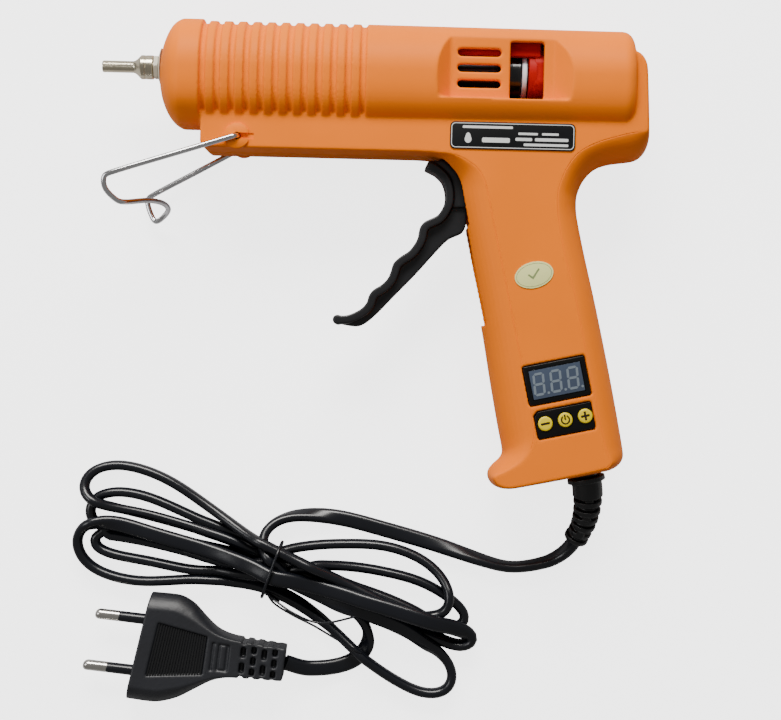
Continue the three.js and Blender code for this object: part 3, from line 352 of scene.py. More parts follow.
def turned_z(name, profile, sides, x=0.0, y=0.0):
    """Body about z from (z, radius) points."""
    return grid_solid(name, [[(px, py, z) for px, py in circle(r, sides, x, y)] for z, r in profile])


def bar_z(x, y, radius, z0, z1, sides=48):
    return prism(circle(radius, sides, x, y), z0, z1, "bar")


def span(a, b):
    return min(a, b), max(a, b)


def box(x0, x1, y0, y1, z0, z1):
    return prism([(x0, y0), (x1, y0), (x1, y1), (x0, y1)], z0, z1)


def prism(outline, z0, z1, name="prism"):
    return grid_solid(name, [[(x, y, z) for x, y in outline] for z in (z0, z1)])


def bevelled_prism(outline, z0, z1, edge, name="prism"):
    """Prism whose top edge is rounded by `edge`."""
    rings = [[(x, y, z0) for x, y in outline]]
    for i in range(5):
        angle = i / 4 * math.pi / 2
        inset_by = edge * (1 - math.cos(angle))
        z = z1 - edge + edge * math.sin(angle)
        rings.append([(p[0], p[1], z) for p in inset(outline, inset_by)])
    return grid_solid(name, rings)


def rounded_rectangle(width, height, corner, steps=6):
    points = []
    for quarter, (sx, sy) in enumerate([(1, -1), (1, 1), (-1, 1), (-1, -1)]):
        start = -math.pi / 2 + quarter * math.pi / 2
        for i in range(steps + 1):
            angle = start + i / steps * math.pi / 2
            points.append((
                sx * (width / 2 - corner) + corner * math.cos(angle),
                sy * (height / 2 - corner) + corner * math.sin(angle),
            ))
    return points


def inset(ring, distance):
    """Counter-clockwise outline moved inwards along the mitre at each corner."""
    moved = []
    for i, point in enumerate(ring):
        p = Vector(point[:2])
        one = (p - Vector(ring[i - 1][:2])).normalized()
        two = (Vector(ring[(i + 1) % len(ring)][:2]) - p).normalized()
        mitre = Vector((-one.y - two.y, one.x + two.x)).normalized()
        cosine = max(mitre.dot(Vector((-one.y, one.x))), 0.5)
        moved.append(tuple(p + mitre * min(distance / cosine, 1.6 * distance)))
    return moved


def spun(points, turn, x=0.0, y=0.0):
    c, s = math.cos(turn), math.sin(turn)
    return [(x + c * px - s * py, y + s * px + c * py) for px, py in points]


def shifted(outline, x, y):
    return [(x + px, y + py) for px, py in outline]


def moved(obj, matrix):
    obj.data.transform(matrix)
    return obj


def placing(x, y, z=0.0, turn=0.0):
    return Matrix.Translation((x, y, z)) @ Matrix.Rotation(turn, 4, "Z")


def evaluated(obj):
    graph = bpy.context.evaluated_depsgraph_get()
    return bpy.data.meshes.new_from_object(obj.evaluated_get(graph))


def keep(obj, mesh):
    old = obj.data
    obj.modifiers.clear()
    obj.data = mesh
    bpy.data.meshes.remove(old)
    return obj


def combined(obj, others, operation):
    """Boolean of a closed mesh with others, which are used up."""
    for other in others:
        modifier = obj.modifiers.new("boolean", "BOOLEAN")
        modifier.object = other
        modifier.operation = operation
        modifier.solver = "MANIFOLD"
        keep(obj, evaluated(obj))
        bpy.data.objects.remove(other)
    return obj


def union(first, *others):
    return combined(first, others, "UNION")


def cut(obj, *others):
    return combined(obj, others, "DIFFERENCE")


def joined(first, second):
    """Both meshes in the first object, without merging them into one body."""
    bm = bmesh.new()
    for obj in (first, second):
        bm.from_mesh(obj.data)
    bm.to_mesh(first.data)
    bm.free()
    bpy.data.objects.remove(second)
    return first


def softened(obj, voxel, passes):
    """Moulded look: remeshes the solid evenly and rounds every edge a little."""
    modifier = obj.modifiers.new("remesh", "REMESH")
    modifier.mode = "VOXEL"
    modifier.voxel_size = voxel
    keep(obj, evaluated(obj))
    smooth = obj.modifiers.new("smooth", "SMOOTH")
    smooth.factor = 0.5
    smooth.iterations = passes
    return keep(obj, evaluated(obj))


def finished(obj, name, material, body, sharp=35):
    """Names the piece, gives it its material and smooth shading, and places it in the row frame."""
    obj.name = name
    obj.data.name = name
    obj.data.materials.clear()
    obj.data.materials.append(material)
    obj.data.transform(TO_ROW)
    obj.data.polygons.foreach_set("use_smooth", [True] * len(obj.data.polygons))
    obj.data.set_sharp_from_angle(angle=math.radians(sharp))
    obj.data.update()
    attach(obj, body)
    return obj


def spline(points, per_span, loop=False, corners=()):
    """Catmull-Rom curve through points of any dimension; the path stays straight into `corners`."""
    p = np.array(points, float)
    n = len(p)
    result = []
    for i in range(n if loop else n - 1):
        a, b = p[i], p[(i + 1) % n]
        before = p[i - 1] if (i > 0 or loop) else 2 * a - b
        after = p[(i + 2) % n] if (i + 2 < n or loop) else 2 * b - a
        start = (b - before) / 2 if i not in corners else (b - a)
        end = (after - a) / 2 if (i + 1) % n not in corners else (b - a)
        length = np.linalg.norm((b - a)[:2])
        for tangent in (start, end):
            size = np.linalg.norm(tangent[:2])
            if size > 1.2 * length > 0:
                tangent *= 1.2 * length / size
        for k in range(per_span):
            t = k / per_span
            result.append(
                (2 * t**3 - 3 * t**2 + 1) * a + (t**3 - 2 * t**2 + t) * start
                + (3 * t**2 - 2 * t**3) * b + (t**3 - t**2) * end)
    if not loop:
        result.append(p[-1])
    return np.array(result)


def resampled(path, spacing):
    steps = np.linalg.norm(np.diff(path[:, :3], axis=0), axis=1)
    along = np.concatenate([[0], np.cumsum(steps)])
    count = max(int(round(along[-1] / spacing)), 2)
    wanted = np.linspace(0, along[-1], count + 1)
    return np.stack([np.interp(wanted, along, path[:, k]) for k in range(path.shape[1])], axis=1)


def frames_along(path):
    tangents = np.gradient(path[:, :3], axis=0)
    return tangents / np.linalg.norm(tangents, axis=1)[:, None]


def tube(name, path, radius, sides=20):
    """Round wire along a path; the section's first axis is carried along without twist."""
    tangents = frames_along(path)
    section = circle(1, sides)
    side = np.cross(tangents[0], (0.0, 0.0, 1.0))
    if np.linalg.norm(side) < 0.1:
        side = np.cross(tangents[0], (0.0, 1.0, 0.0))
    rings = []
    for point, tangent in zip(path, tangents):
        side = side - tangent * side.dot(tangent)
        side /= np.linalg.norm(side)
        other = np.cross(tangent, side)
        rings.append([point[:3] + radius * (u * side + v * other) for u, v in section])
    return grid_solid(name, rings)


# ---------------------------------------------------------------- cord

# route from the strain relief to the plug: x, y, height above the table, and how flat it lies (1 is
# flat, 0 is on edge); the hank's folds alternate right and left of its tie
ROUTE = [
    # lead to the hank, with the turn above the tie
    (157.2, -170.4, 9, 0.5), (155.6, -173.6, 6.8, 0.5), (152, -177.4, 4.4, 0.4),
    (146.6, -180.4, 3.2, 0.3), (139.6, -182.2, 3, 0.2), (131.6, -182.6, 3, 0.2), (120.6, -179.6, 3, 0.4),
    (104, -174.4, 2.6, 0.8), (84.6, -169.3, 2.2, 1), (71.2, -166, 2.4, 1), (60.6, -164.7, 2.8, 0.6),
    (51, -165, 3.2, 0.2), (44, -167.5, 4, 0), (39.8, -172, 7, 0), (39.6, -177, 10, 0),
    (42, -181, 12, 0.2), (46.5, -185.5, 12, 0.6),
    # first right fold, lowest on the right
    (52.5, -189.6, 11, 0.9), (59.5, -193, 10, 1), (75, -199, 8, 1), (91, -205, 6, 0.9),
    (101.5, -210.5, 4, 0.5), (110.5, -218, 3, 0.1), (113.3, -225, 3, 0), (110, -230.6, 3, 0),
    (101, -231, 3, 0), (89.5, -225.5, 4, 0), (79, -218, 7, 0), (68, -208.5, 5, 0),
    (61.5, -203.2, 4, 0.2), (52, -197, 4, 0.4),
    # first left fold, lowest on the left
    (42, -192.6, 4, 0.3), (31.5, -190, 3, 0), (23, -189, 3, 0), (8, -190.5, 3, 0), (-7.5, -191.3, 3, 0),
    (-20.5, -188.6, 3, 0), (-27.8, -184, 3, 0), (-30.8, -177.5, 3, 0), (-29.2, -172, 4, 0),
    (-24, -168.8, 7, 0.3),
    # flat run over the whole hank and second right fold
    (-14.5, -169.2, 9, 0.8), (-1, -173, 9, 1), (23.5, -179.5, 10, 1), (44.5, -186.3, 14, 1),
    (70, -193.2, 13, 1), (91, -198.8, 12, 1), (106.5, -203.4, 11, 1), (116, -206, 9, 0.8),
    (121, -209.8, 7, 0.3), (116, -213.2, 5, 0.2), (107, -210.5, 4, 0.3), (96.5, -206, 2.5, 0.8),
    (80.5, -200, 2, 1), (64.5, -194, 2, 1), (54, -189, 2, 1),
    # second left fold, inside the others
    (44, -185.4, 2, 1), (27, -180.4, 2.5, 0.5), (11, -176, 3, 0), (-5, -172.6, 3, 0),
    (-16, -171.4, 3, 0), (-23.6, -173.4, 3, 0), (-24.6, -178.2, 3, 0), (-18, -181.2, 3, 0),
    (-2, -183.8, 3, 0), (11, -186.3, 3, 0), (27, -188.4, 3, 0.2), (41, -188.6, 4, 0.3),
    # third right fold, behind the first
    (51, -185.2, 5, 0), (61, -183.4, 3, 0), (74.5, -183.8, 3, 0), (90.5, -186.3, 3, 0),
    (101.5, -189.5, 3, 0), (112, -195.5, 3, 0), (118, -201.6, 3, 0), (114.5, -206.4, 3, 0),
    (106, -204, 3, 0), (91, -197, 3, 0), (69.5, -189.5, 3, 0), (55.5, -184, 4, 0),
    # third left fold
    (44, -179.6, 5, 0), (32, -174, 5, 0), (16, -167.6, 3, 0), (5.5, -163, 3, 0), (-5, -159, 3, 0),
    (-15.5, -157.4, 3, 0), (-23, -159.2, 3, 0), (-26.6, -164, 3, 0), (-25, -169.6, 3, 0),
    (-17.5, -173.6, 3, 0), (-4.5, -176, 3, 0), (11, -179.4, 3, 0), (27, -183, 5, 0),
    # fourth right fold, on top at its far end
    (40, -182.4, 10, 0), (47.4, -178, 11, 0), (57, -176.2, 6, 0), (69.5, -175.3, 3, 0),
    (85, -175.5, 3, 0), (98, -179.3, 3, 0), (106.8, -185.5, 4, 0), (111.2, -193.6, 8, 0),
    (109.2, -200.2, 9, 0), (101.5, -201.9, 8, 0), (93, -199.2, 8, 0), (78, -192.5, 9, 0),
    (65.5, -186.5, 10, 0), (53.5, -181.2, 12, 0), (46, -177.6, 12, 0),
    # fourth left fold, on top
    (37.5, -174, 9, 0), (29, -169, 7, 0), (18.5, -162.2, 5, 0), (5.5, -153.8, 3, 0), (-6, -149, 3, 0),
    (-16.5, -147.3, 3, 0), (-25, -149.5, 3, 0), (-28.8, -155, 4, 0), (-26, -160.5, 8, 0),
    (-18.5, -163, 10, 0), (-4.5, -166, 10, 0.2), (11.5, -170, 9, 0.2), (27, -173.8, 8, 0.2),
    (38, -178, 7, 0),
    # tail to the plug
    (48, -183.5, 5, 0), (61, -189.8, 3, 0), (73, -198, 3, 0), (80.2, -206.5, 3, 0), (80.6, -214, 2.4, 0.6),
    (75.2, -219.8, 2, 0.9), (66, -222.4, 2.2, 1), (57, -222.4, 3.8, 1), (49.6, -220, 6.4, 1),
]
RELAXED_SPACING = 3.0
SETTLE_STEPS, SINKING_STEPS = 260, 200
SINK, LATE_SINK = 0.12, 0.02
EVEN_HIGH, EVEN_WIDE, HOMEWARD, PUSH = 0.4, 0.25, 0.12, 0.25
NEAR = 14  # points further apart than this never meet
LEAST_PUSH = 0.02  # upwards or downwards, for two strands that meet at one height
FREE_NEIGHBOURS = 7  # points this close along the cord don't push each other


def settled(route):
    """The cord comes to rest: strands push apart where they meet, sink to the table and stay smooth."""
    path = resampled(spline(route, 8), RELAXED_SPACING)
    lie = (1 - np.clip(path[:, 3], 0, 1)) * math.pi / 2
    half_high = np.hypot(CORD_THICK / 2 * np.cos(lie), CORD_WIDTH / 2 * np.sin(lie))
    half_wide = np.hypot(CORD_WIDTH / 2 * np.cos(lie), CORD_THICK / 2 * np.sin(lie))
    point = path[:, :3].copy()
    home = point.copy()
    held = np.zeros(len(point), bool)
    held[:6] = True
    held[-4:] = True
    first, second = np.triu_indices(len(point), FREE_NEIGHBOURS)
    near = np.linalg.norm(home[first, :2] - home[second, :2], axis=1) < NEAR
    first, second = first[near], second[near]
    reach_high = half_high[first] + half_high[second]
    reach_wide = half_wide[first] + half_wide[second]
    for step in range(SETTLE_STEPS):
        point[:, 2] -= SINK if step < SINKING_STEPS else LATE_SINK
        middle = (point[:-2] + point[2:]) / 2 - point[1:-1]
        point[1:-1, 2] += EVEN_HIGH * middle[:, 2]
        point[1:-1, :2] += EVEN_WIDE * middle[:, :2]
        point[:, :2] += HOMEWARD * (home[:, :2] - point[:, :2])
        for _ in range(2):
            apart = point[second] - point[first]
            wide = np.hypot(apart[:, 0], apart[:, 1]) / reach_wide
            high = apart[:, 2] / reach_high
            distance = np.hypot(wide, high)
            hit = distance < 1
            i, j = first[hit], second[hit]
            share = (1 - distance[hit]) / np.maximum(distance[hit], 0.05) * PUSH
            push = apart[hit] * share[:, None]
            level = np.abs(push[:, 2]) < LEAST_PUSH
            push[level, 2] = LEAST_PUSH * np.sign(home[j, 2] - home[i, 2])[level]
            move = np.zeros_like(point)
            touched = np.zeros(len(point))
            np.add.at(move, i, -push)
            np.add.at(move, j, push)
            np.add.at(touched, i, 1)
            np.add.at(touched, j, 1)
            point += move / np.maximum(touched, 1)[:, None] * 2
        point[:, 2] = np.maximum(point[:, 2], half_high)
        point[held] = home[held]
    point[:, 2] += TABLE_Z
    return np.column_stack([point, lie])


def flat_cord(name, path):
    """Two-core flat sheath: flat faces and round edges, turned from flat to on edge along the route."""
    section = []
    straight = (CORD_WIDTH - CORD_THICK) / 2
    for end in (1, -1):
        for k in range(9):
            angle = -math.pi / 2 + k / 8 * math.pi
            section.append((
                end * (straight + CORD_THICK / 2 * math.cos(angle)),
                end * CORD_THICK / 2 * math.sin(angle),
            ))
    tangents = frames_along(path)
    rings = []
    for row, tangent in zip(path, tangents):
        level = np.cross((0.0, 0.0, 1.0), tangent)
        level /= np.linalg.norm(level)
        above = np.cross(tangent, level)
        lie = row[3]
        across = math.cos(lie) * level + math.sin(lie) * above
        thick = np.cross(tangent, across)
        rings.append([row[:3] + u * across + v * thick for u, v in section])
    return grid_solid(name, rings)


rest = settled(ROUTE)
cord_path = resampled(spline(rest, 3), 1.3)
cord = finished(flat_cord("cord", cord_path), "cord", CORD_BLACK, "gun", 60)
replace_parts(cord, "lead", "cord_hank", "lead_tail")

# ---------------------------------------------------------------- housing

# outline at the split plane and crease of the flat side face: edge x, edge y, crease x, crease y
BODY_RING = [
    (15.5, 9.1, 15.9, 8.7), (15.5, -28.6, 15.9, -28.4), (17.5, -30.6, 17.7, -30.2), (94, -30.6, 94, -30.2),
    (100.8, -31.1, 102.3, -30.6), (103.5, -33, 107.3, -31), (105.6, -35.7, 111.4, -32.6),
    (107.2, -38.5, 116, -36), (108.2, -41.5, 118.7, -40.6), (109.2, -46.5, 120.2, -46),
    (111.4, -57.3, 122.2, -55.5), (114.2, -70.5, 125.2, -68.5), (119, -91.2, 129.9, -89.5),
    (122.9, -112.1, 134.4, -110), (125.8, -127, 137.4, -123.5), (128, -137.6, 138.5, -131.5),
    (127.2, -140.2, 137.6, -136.2), (124.6, -142.8, 134.6, -140.5), (123.1, -145, 129.6, -143.8),
    (123, -147.3, 124.9, -146), (124.4, -149.8, 125.5, -148.8), (127.6, -151.2, 128, -150.3),
    (132.7, -151.1, 132.6, -150.2), (165.4, -144.3, 164.4, -142.8), (170, -142.4, 166.4, -140.6),
    (172.3, -139.3, 165.6, -138.4), (172.1, -135.2, 164.2, -134.6), (167.2, -111, 158.6, -110.4),
    (161.3, -84.9, 152.9, -84.2), (156.4, -65, 147.8, -65), (153.5, -52, 145.4, -52),
    (153, -47.4, 145, -47), (153.3, -43.2, 145.5, -41.6), (155.5, -38, 148.2, -34.6),
    (159.5, -33.8, 152.6, -29), (164.6, -31.8, 159.5, -25.2), (173.4, -30.4, 168.6, -22.4),
    (176.6, -28.4, 173, -21.4), (178.4, -24.6, 176.4, -20.8), (178.4, -19, 176.9, -17.6),
    (177.4, 1, 176.1, 1), (176.7, 5, 175.3, 4.4), (174.4, 8.1, 173.2, 7), (170.6, 9.1, 170, 8.2),
]
BODY_CORNERS = (0, 1, 2, 3, 43)
CREASE_ANGLE = math.radians(78)  # the round side meets the flat face at a faint crease


def slab(name, ring, half, steps, crease_angle=math.pi / 2):
    """Slab that is widest at the split plane and rounds off to the crease on both faces."""
    rings = []
    for level in range(-steps, steps + 1):
        angle = level / steps * crease_angle
        inward = (1 - math.cos(angle)) / (1 - math.cos(crease_angle))
        z = half * math.sin(angle) / math.sin(crease_angle)
        rings.append([
            (ex + (cx - ex) * inward, ey + (cy - ey) * inward, z) for ex, ey, cx, cy in ring
        ])
    return grid_solid(name, rings)


def barrel_profile():
    profile = [(0, 0), (0, 7.4), (0.15, 7.9)]
    nose = np.array([(0.15, 7.9), (1, 11.2), (2.7, 15.2), (4.8, 18.2), (7.3, 19.8), (8.6, CAP_RADIUS)])
    profile += [tuple(p) for p in spline(nose, 5)[1:]]
    profile.append((FIRST_GROOVE_X, CAP_RADIUS))
    groove = RIB_RADIUS - GROOVE_DEPTH
    for i in range(RIB_COUNT + 1):
        x = FIRST_GROOVE_X + i * RIB_PITCH
        profile += [(x + 0.2, groove), (x + GROOVE_WIDTH - 0.2, groove), (x + GROOVE_WIDTH, RIB_RADIUS)]
        if i < RIB_COUNT:
            profile.append((x + RIB_PITCH, RIB_RADIUS))
    for i in range(9):
        angle = i / 8 * math.pi / 2
        profile.append((
            BARREL_REAR_X - BARREL_REAR_FILLET * (1 - math.sin(angle)),
            BARREL_REAR_RADIUS - BARREL_REAR_FILLET * (1 - math.cos(angle)),
        ))
    profile.append((BARREL_REAR_X, 0))
    return profile


def window_pocket():
    top = CAP_RADIUS + 5
    side = [
        (POCKET_LEFT - SLOPE_LEFT, CAP_RADIUS), (POCKET_LEFT, POCKET_FLOOR), (POCKET_RIGHT, POCKET_FLOOR),
        (POCKET_RIGHT + SLOPE_RIGHT, CAP_RADIUS), (POCKET_RIGHT + SLOPE_RIGHT, top),
        (POCKET_LEFT - SLOPE_LEFT, top),
    ]
    pocket = grid_solid("pocket", [[(x, y, z) for x, z in side] for y in (POCKET_BOTTOM, top)])
    cutters = [pocket]
    middle = (VENT_LEFT + VENT_RIGHT) / 2
    for row in (-1, 0, 1):
        vent = rounded_rectangle(VENT_RIGHT - VENT_LEFT, VENT_HEIGHT, VENT_HEIGHT / 2 - 0.01)
        y = VENT_MIDDLE + row * VENT_PITCH
        cutters.append(prism([(middle + px, y + py) for px, py in vent], 5, POCKET_FLOOR + 1))
    cutters.append(box(WINDOW_LEFT, WINDOW_RIGHT, WINDOW_BOTTOM, WINDOW_TOP, 5, POCKET_FLOOR + 1))
    return cutters


def trigger_slot():
    """The trigger's way into the handle, wider at the top where its spring swings."""
    half = FLANGE_HALF + SLOT_PLAY
    top = [(96, -33.4), (106, -30.9), (120, -31)]
    return union(
        prism(top + [(133, -92), (112, -92)], -half, half),
        prism(top + [(125.3, -56), (104, -56)], -SPRING_ROOM, SPRING_ROOM))


def on_handle(outline, x, y):
    return spun(outline, RAKE, x, y)


def panel_outline(grow):
    x = PANEL_WIDTH / 2 + grow
    y = PANEL_HEIGHT / 2 + grow
    outline = [(-x, -y), (x, -y), (x, y), (-x + PANEL_CUT, y), (-x, y - PANEL_CUT)]
    return on_handle(outline, PANEL_X, PANEL_Y)


def display_outline(grow, corner=0.5):
    outline = rounded_rectangle(DISPLAY_WIDTH + 2 * grow, DISPLAY_HEIGHT + 2 * grow, corner)
    return on_handle(outline, DISPLAY_X, DISPLAY_Y)


def inner_space():
    """Hollow of the housing: round in the barrel, a slab's offset in the lower block and handle."""
    back = BARREL_REAR_X - 2.8
    r = SPACE_RADIUS
    profile = [(3, 0), (3, 11), (8, r), (back - 4, r), (back, r - 3), (back, 0)]
    space = turned("space", profile, 36, BARREL_DROP)
    edge = inset([(p[0], p[1]) for p in BODY_RING], WALL)
    crease = inset([(p[2], p[3]) for p in BODY_RING], WALL)
    lower = slab("lower", [e + c for e, c in zip(edge, crease)], BODY_HALF - WALL, 2)
    union(space, lower)
    behind = box(
        POCKET_LEFT - SLOPE_LEFT - 2, POCKET_RIGHT + SLOPE_RIGHT + 2, -CAP_RADIUS - 5, CAP_RADIUS + 5,
        POCKET_FLOOR - WALL, CAP_RADIUS + 5)
    return cut(space, behind)


def relief_hole():
    return moved(bar_x(4.6, -6, 6), placing(RELIEF_X, RELIEF_Y, 0, math.pi / 2 + RAKE))


def housing_half(side):
    """side is 1 for the left half, on top, and -1 for the right half, on the table."""
    ring = [tuple(p) for p in spline(BODY_RING, 6, True, BODY_CORNERS)]
    shell = turned("shell", barrel_profile(), 144, BARREL_DROP, fullness=BARREL_FULLNESS)
    union(shell, slab("slab", ring, BODY_HALF, 10, CREASE_ANGLE))
    cuts = [bar_x(5.4, -2, 5), bar_x(6.7, 166, 181), trigger_slot(), relief_hole()]
    if side > 0:
        cuts += window_pocket()
        cuts.append(prism(display_outline(GAP), 9, BODY_HALF + 2))
        cuts.append(prism(panel_outline(GAP), 9, BODY_HALF + 2))
    else:
        for x, y in SCREW_PLACES:
            cuts.append(bar_z(x, y, 3.1, -BODY_HALF - 1, -BODY_HALF + 2.3))
    other_half = span(-side * 40, side * GAP / 4)
    cuts.append(box(-5, 200, -170, 30, *other_half))
    cut(shell, *cuts)
    softened(shell, 0.47, 2)
    union(shell, stand_boss(side))
    boss = side * (BODY_HALF + BOSS_HEIGHT + 1)
    cut(shell, bar_z(STAND_X, STAND_Y, STAND_WIRE + 0.35, *span(side * 8, boss)),
        box(STAND_X, STAND_X + 6, STAND_Y - 1.1, STAND_Y + 1.1, *span(side * (BODY_HALF - 0.45), boss)),
        *crease_lines(side))
    return cut(shell, inner_space())


def stand_boss(side):
    """Low disc round the stand's hole with one flat edge."""
    high = BODY_HALF + BOSS_HEIGHT
    flat = STAND_BOSS - 0.5
    return grid_solid("boss", [
        [(STAND_X + min(px, flat), STAND_Y + py, side * z) for px, py in circle(r, 64)]
        for r, z in ((STAND_BOSS, BODY_HALF - 1), (STAND_BOSS, high - 0.2), (STAND_BOSS - 0.2, high))
    ])


def crease_lines(side):
    """Fine grooves along the creases at the front and the back of the handle."""
    lines = []
    for first, last in ((5, 17), (23, 38)):
        crease = [(p[2], p[3], side * (BODY_HALF + 0.05)) for p in BODY_RING[first:last]]
        lines.append(tube("line", spline(crease, 8), 0.26, 8))
    return lines


for side, label in ((1, "left"), (-1, "right")):
    shell = finished(housing_half(side), f"{label}_shell", ORANGE, "gun", 50)
    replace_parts(shell, f"{label}_housing")

# ---------------------------------------------------------------- nozzle

nozzle = turned("nozzle", [
    (-22.1, 0.9), (-22.1, 1.85), (-21.95, 2.05), (-21.6, 2.15), (-10.7, 2.15), (-10.2, 2.3), (-9.3, 2.9),
    (-8.6, 3.6), (-8.1, 4.1), (-7.7, 4.4), (-6.4, 4.4), (-6.3, 4.2), (-6.0, 4.2), (-5.9, 4.4), (-3.5, 4.4),
    (-3.3, 4.2), (-3.3, 2.6), (14, 2.6), (14, 1.5), (-7.7, 1.5), (-10.7, 0.9),
], 64, 0, True)
nozzle = finished(nozzle, "nozzle_fine", PLATED, "gun", 30)
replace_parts(nozzle, "nozzle")

HEX_FLATS, HEX_TURN = 7.8, 0.52
hexagon = [
    (HEX_FLATS / math.sqrt(3) * math.cos(math.pi / 3 * k + HEX_TURN),
     HEX_FLATS / math.sqrt(3) * math.sin(math.pi / 3 * k + HEX_TURN))
    for k in range(6)
]
collar = grid_solid("collar", [[(x, y, z) for y, z in hexagon] for x in (-3, -1.5)])
rounding = [(-3.1, 0), (-3.1, 4.0), (-2.7, 4.5), (-1.8, 4.5), (-1.4, 4.1), (-1.4, 0)]
combined(collar, [turned("rounding", rounding, 48)], "INTERSECT")
cut(collar, bar_x(2.9, -4, 0, 0, 40))
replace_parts(finished(collar, "collar_fine", PALE, "gun", 25), "nozzle_collar")

washer = turned("washer", [
    (-1.2, 2.9), (-1.2, 5.0), (-1.05, 5.3), (-0.7, 6.5), (-0.5, 7.0), (-0.4, 7.1), (-0.3, 7.0), (-0.3, 2.9),
], 64, 0, True)
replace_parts(finished(washer, "washer_fine", PALE, "gun", 30), "nozzle_washer")

# ---------------------------------------------------------------- sleeve and carriage seen in the window

sleeve_profile = [(84, 7.2), (84, 8.2), (84.3, 8.5)]
sleeve_profile += [(128 + 0.3 * k, 8.5 - 0.08 * (k % 2)) for k in range(9)]
sleeve_profile += [(131, 8.5), (131.3, 8.2), (131.3, 7.2)]
sleeve = turned("sleeve", sleeve_profile, 72, 0, True)
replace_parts(finished(sleeve, "sleeve_fine", GLOSS_SLEEVE, "gun", 40), "inlet_sleeve")

ring = turned("ring", [
    (131.6, 6.5), (131.6, 8.4), (131.9, 8.7), (133.1, 8.7), (133.4, 8.4), (133.4, 6.5), (133.2, 6.3),
    (131.8, 6.3),
], 72, 0, True)
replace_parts(finished(ring, "ring_fine", WHITE, "gun", 40), "sleeve_ring")


def moulded_copy(node, voxel, passes):
    """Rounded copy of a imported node, back in the gun's millimetres."""
    copy = linked(node + "_copy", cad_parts[node].data.copy())
    copy.data.transform(TO_ROW.inverted())
    copy.data.materials.clear()
    closed(copy)
    return softened(copy, voxel, passes)


carriage = moulded_copy("feed_carriage", 0.32, 3)
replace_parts(finished(carriage, "carriage_fine", RED, "carriage", 50), "feed_carriage")
lip = turned("lip", [
    (133.8, 9.3), (133.8, 10.2), (134.1, 10.6), (136.6, 10.6), (136.6, 9.3),
], 72, 0, True)
finished(lip, "carriage_lip", RED, "carriage", 50)

# ---------------------------------------------------------------- trigger

FINGER_SIDE = [
    (97.6, -35.2), (101, -37.2), (103.7, -40), (104.9, -44.3), (104.5, -48.2), (102.4, -52), (99.6, -53.6),
    (97.4, -54.8), (95.8, -57), (95.2, -60.4), (94, -63), (92, -65.6), (89.2, -67.5), (86.6, -70),
    (85.7, -72.8), (84.6, -75.6), (82.4, -78), (79.4, -80), (77.8, -82.2), (77, -84.8), (74.8, -87.2),
    (70.2, -89.4), (65.6, -89.6),
]
TRIGGER_BACK = [
    (99.2, -34), (103.5, -34), (108, -38.5), (112, -45), (113, -50), (112, -57.4), (106.5, -60.6),
    (101.8, -65.5), (95, -73.4), (87.5, -81.4), (80.4, -89), (76, -92.6), (72.5, -93.4), (66, -92.2),
    (65.4, -90.4),
]
STROKE = math.radians(33) / 2
DRIVE_HEIGHT = -16.2 - PIVOT_Y
DRIVE_PIN, DRIVE_PLAY, ARM_HALF = 1.5, 0.45, 2.2


def finger_flange():
    line = spline(FINGER_SIDE, 6)
    along = np.gradient(line, axis=0)
    along /= np.linalg.norm(along, axis=1)[:, None]
    behind = line + np.column_stack([-along[:, 1], along[:, 0]]) * FLANGE_THICK
    outline = [tuple(p) for p in line] + [tuple(p) for p in behind[::-1]]
    return prism(outline, -FLANGE_HALF, FLANGE_HALF)


def trigger_lever():
    back = [tuple(p) for p in spline(TRIGGER_BACK, 5, False, (0, 14))]
    front = [tuple(p) for p in spline(FINGER_SIDE, 5)][::-1]
    lever = prism(back + front, -WEB_HALF, WEB_HALF, "trigger")
    reach = DRIVE_HEIGHT / math.cos(STROKE) + DRIVE_PIN + 0.2
    arm = box(-3.4, 3.4, 0, reach, -ARM_HALF, ARM_HALF)
    fork = DRIVE_PIN + DRIVE_PLAY
    cut(arm, box(-fork, fork, DRIVE_HEIGHT - DRIVE_PIN - 1, reach + 1, -5, 5))
    moved(arm, placing(PIVOT_X, PIVOT_Y, 0, -STROKE))
    neck = prism([(106, -38), (113, -32.5), (119.5, -38), (113, -50), (108, -44)], -WEB_HALF, WEB_HALF)
    shoulder = prism([
        (97.0, -35.4), (98.4, -32.3), (104.2, -31.9), (109, -35.6), (112.6, -42), (112.8, -49),
        (105.5, -49.5), (105.5, -44.3), (104.2, -40), (101.4, -37.4),
    ], -SHOULDER_HALF, SHOULDER_HALF)
    hub = bar_z(PIVOT_X, PIVOT_Y, 4.6, -6, 6)
    rounded_tip = bar_z(66.6, -91.1, 1.8, -6, 6)
    union(lever, finger_flange(), neck, shoulder, hub, rounded_tip, arm)
    cut(lever, bar_z(PIVOT_X, PIVOT_Y, PIVOT_RADIUS + GAP, -9, 9))
    return softened(lever, 0.36, 4)


trigger = finished(trigger_lever(), "trigger_lever", BLACK, "trigger", 50)
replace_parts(trigger, "trigger")

# ---------------------------------------------------------------- wire stand

STAND_LINE = [
    (STAND_X, STAND_Y, 11), (STAND_X, STAND_Y, LEG_OFFSET - 1.6),
    (STAND_X - 1.5, STAND_Y - 0.5, LEG_OFFSET), (10, -32.4, LEG_OFFSET), (-14.6, -40.4, LEG_OFFSET),
    (-17.8, -42.2, 15.8), (-17.4, -46.4, 15), (-13.6, -50.2, 13), (-10.6, -50.6, 10.4), (-4.2, -49, 1),
    (0.2, -49.2, -5.6), (1.9, -51, -9.6), (0, -53.4, -13), (-3.4, -55.3, -15.2), (-5.6, -52.2, -16),
    (-6.8, -47.4, -LEG_OFFSET), (-4.3, -45, -LEG_OFFSET), (12, -35.9, -LEG_OFFSET),
    (STAND_X - 1.4, STAND_Y - 0.8, -LEG_OFFSET), (STAND_X, STAND_Y, -LEG_OFFSET + 1.6),
    (STAND_X, STAND_Y, -11),
]
stand_path = spline(STAND_LINE, 10)
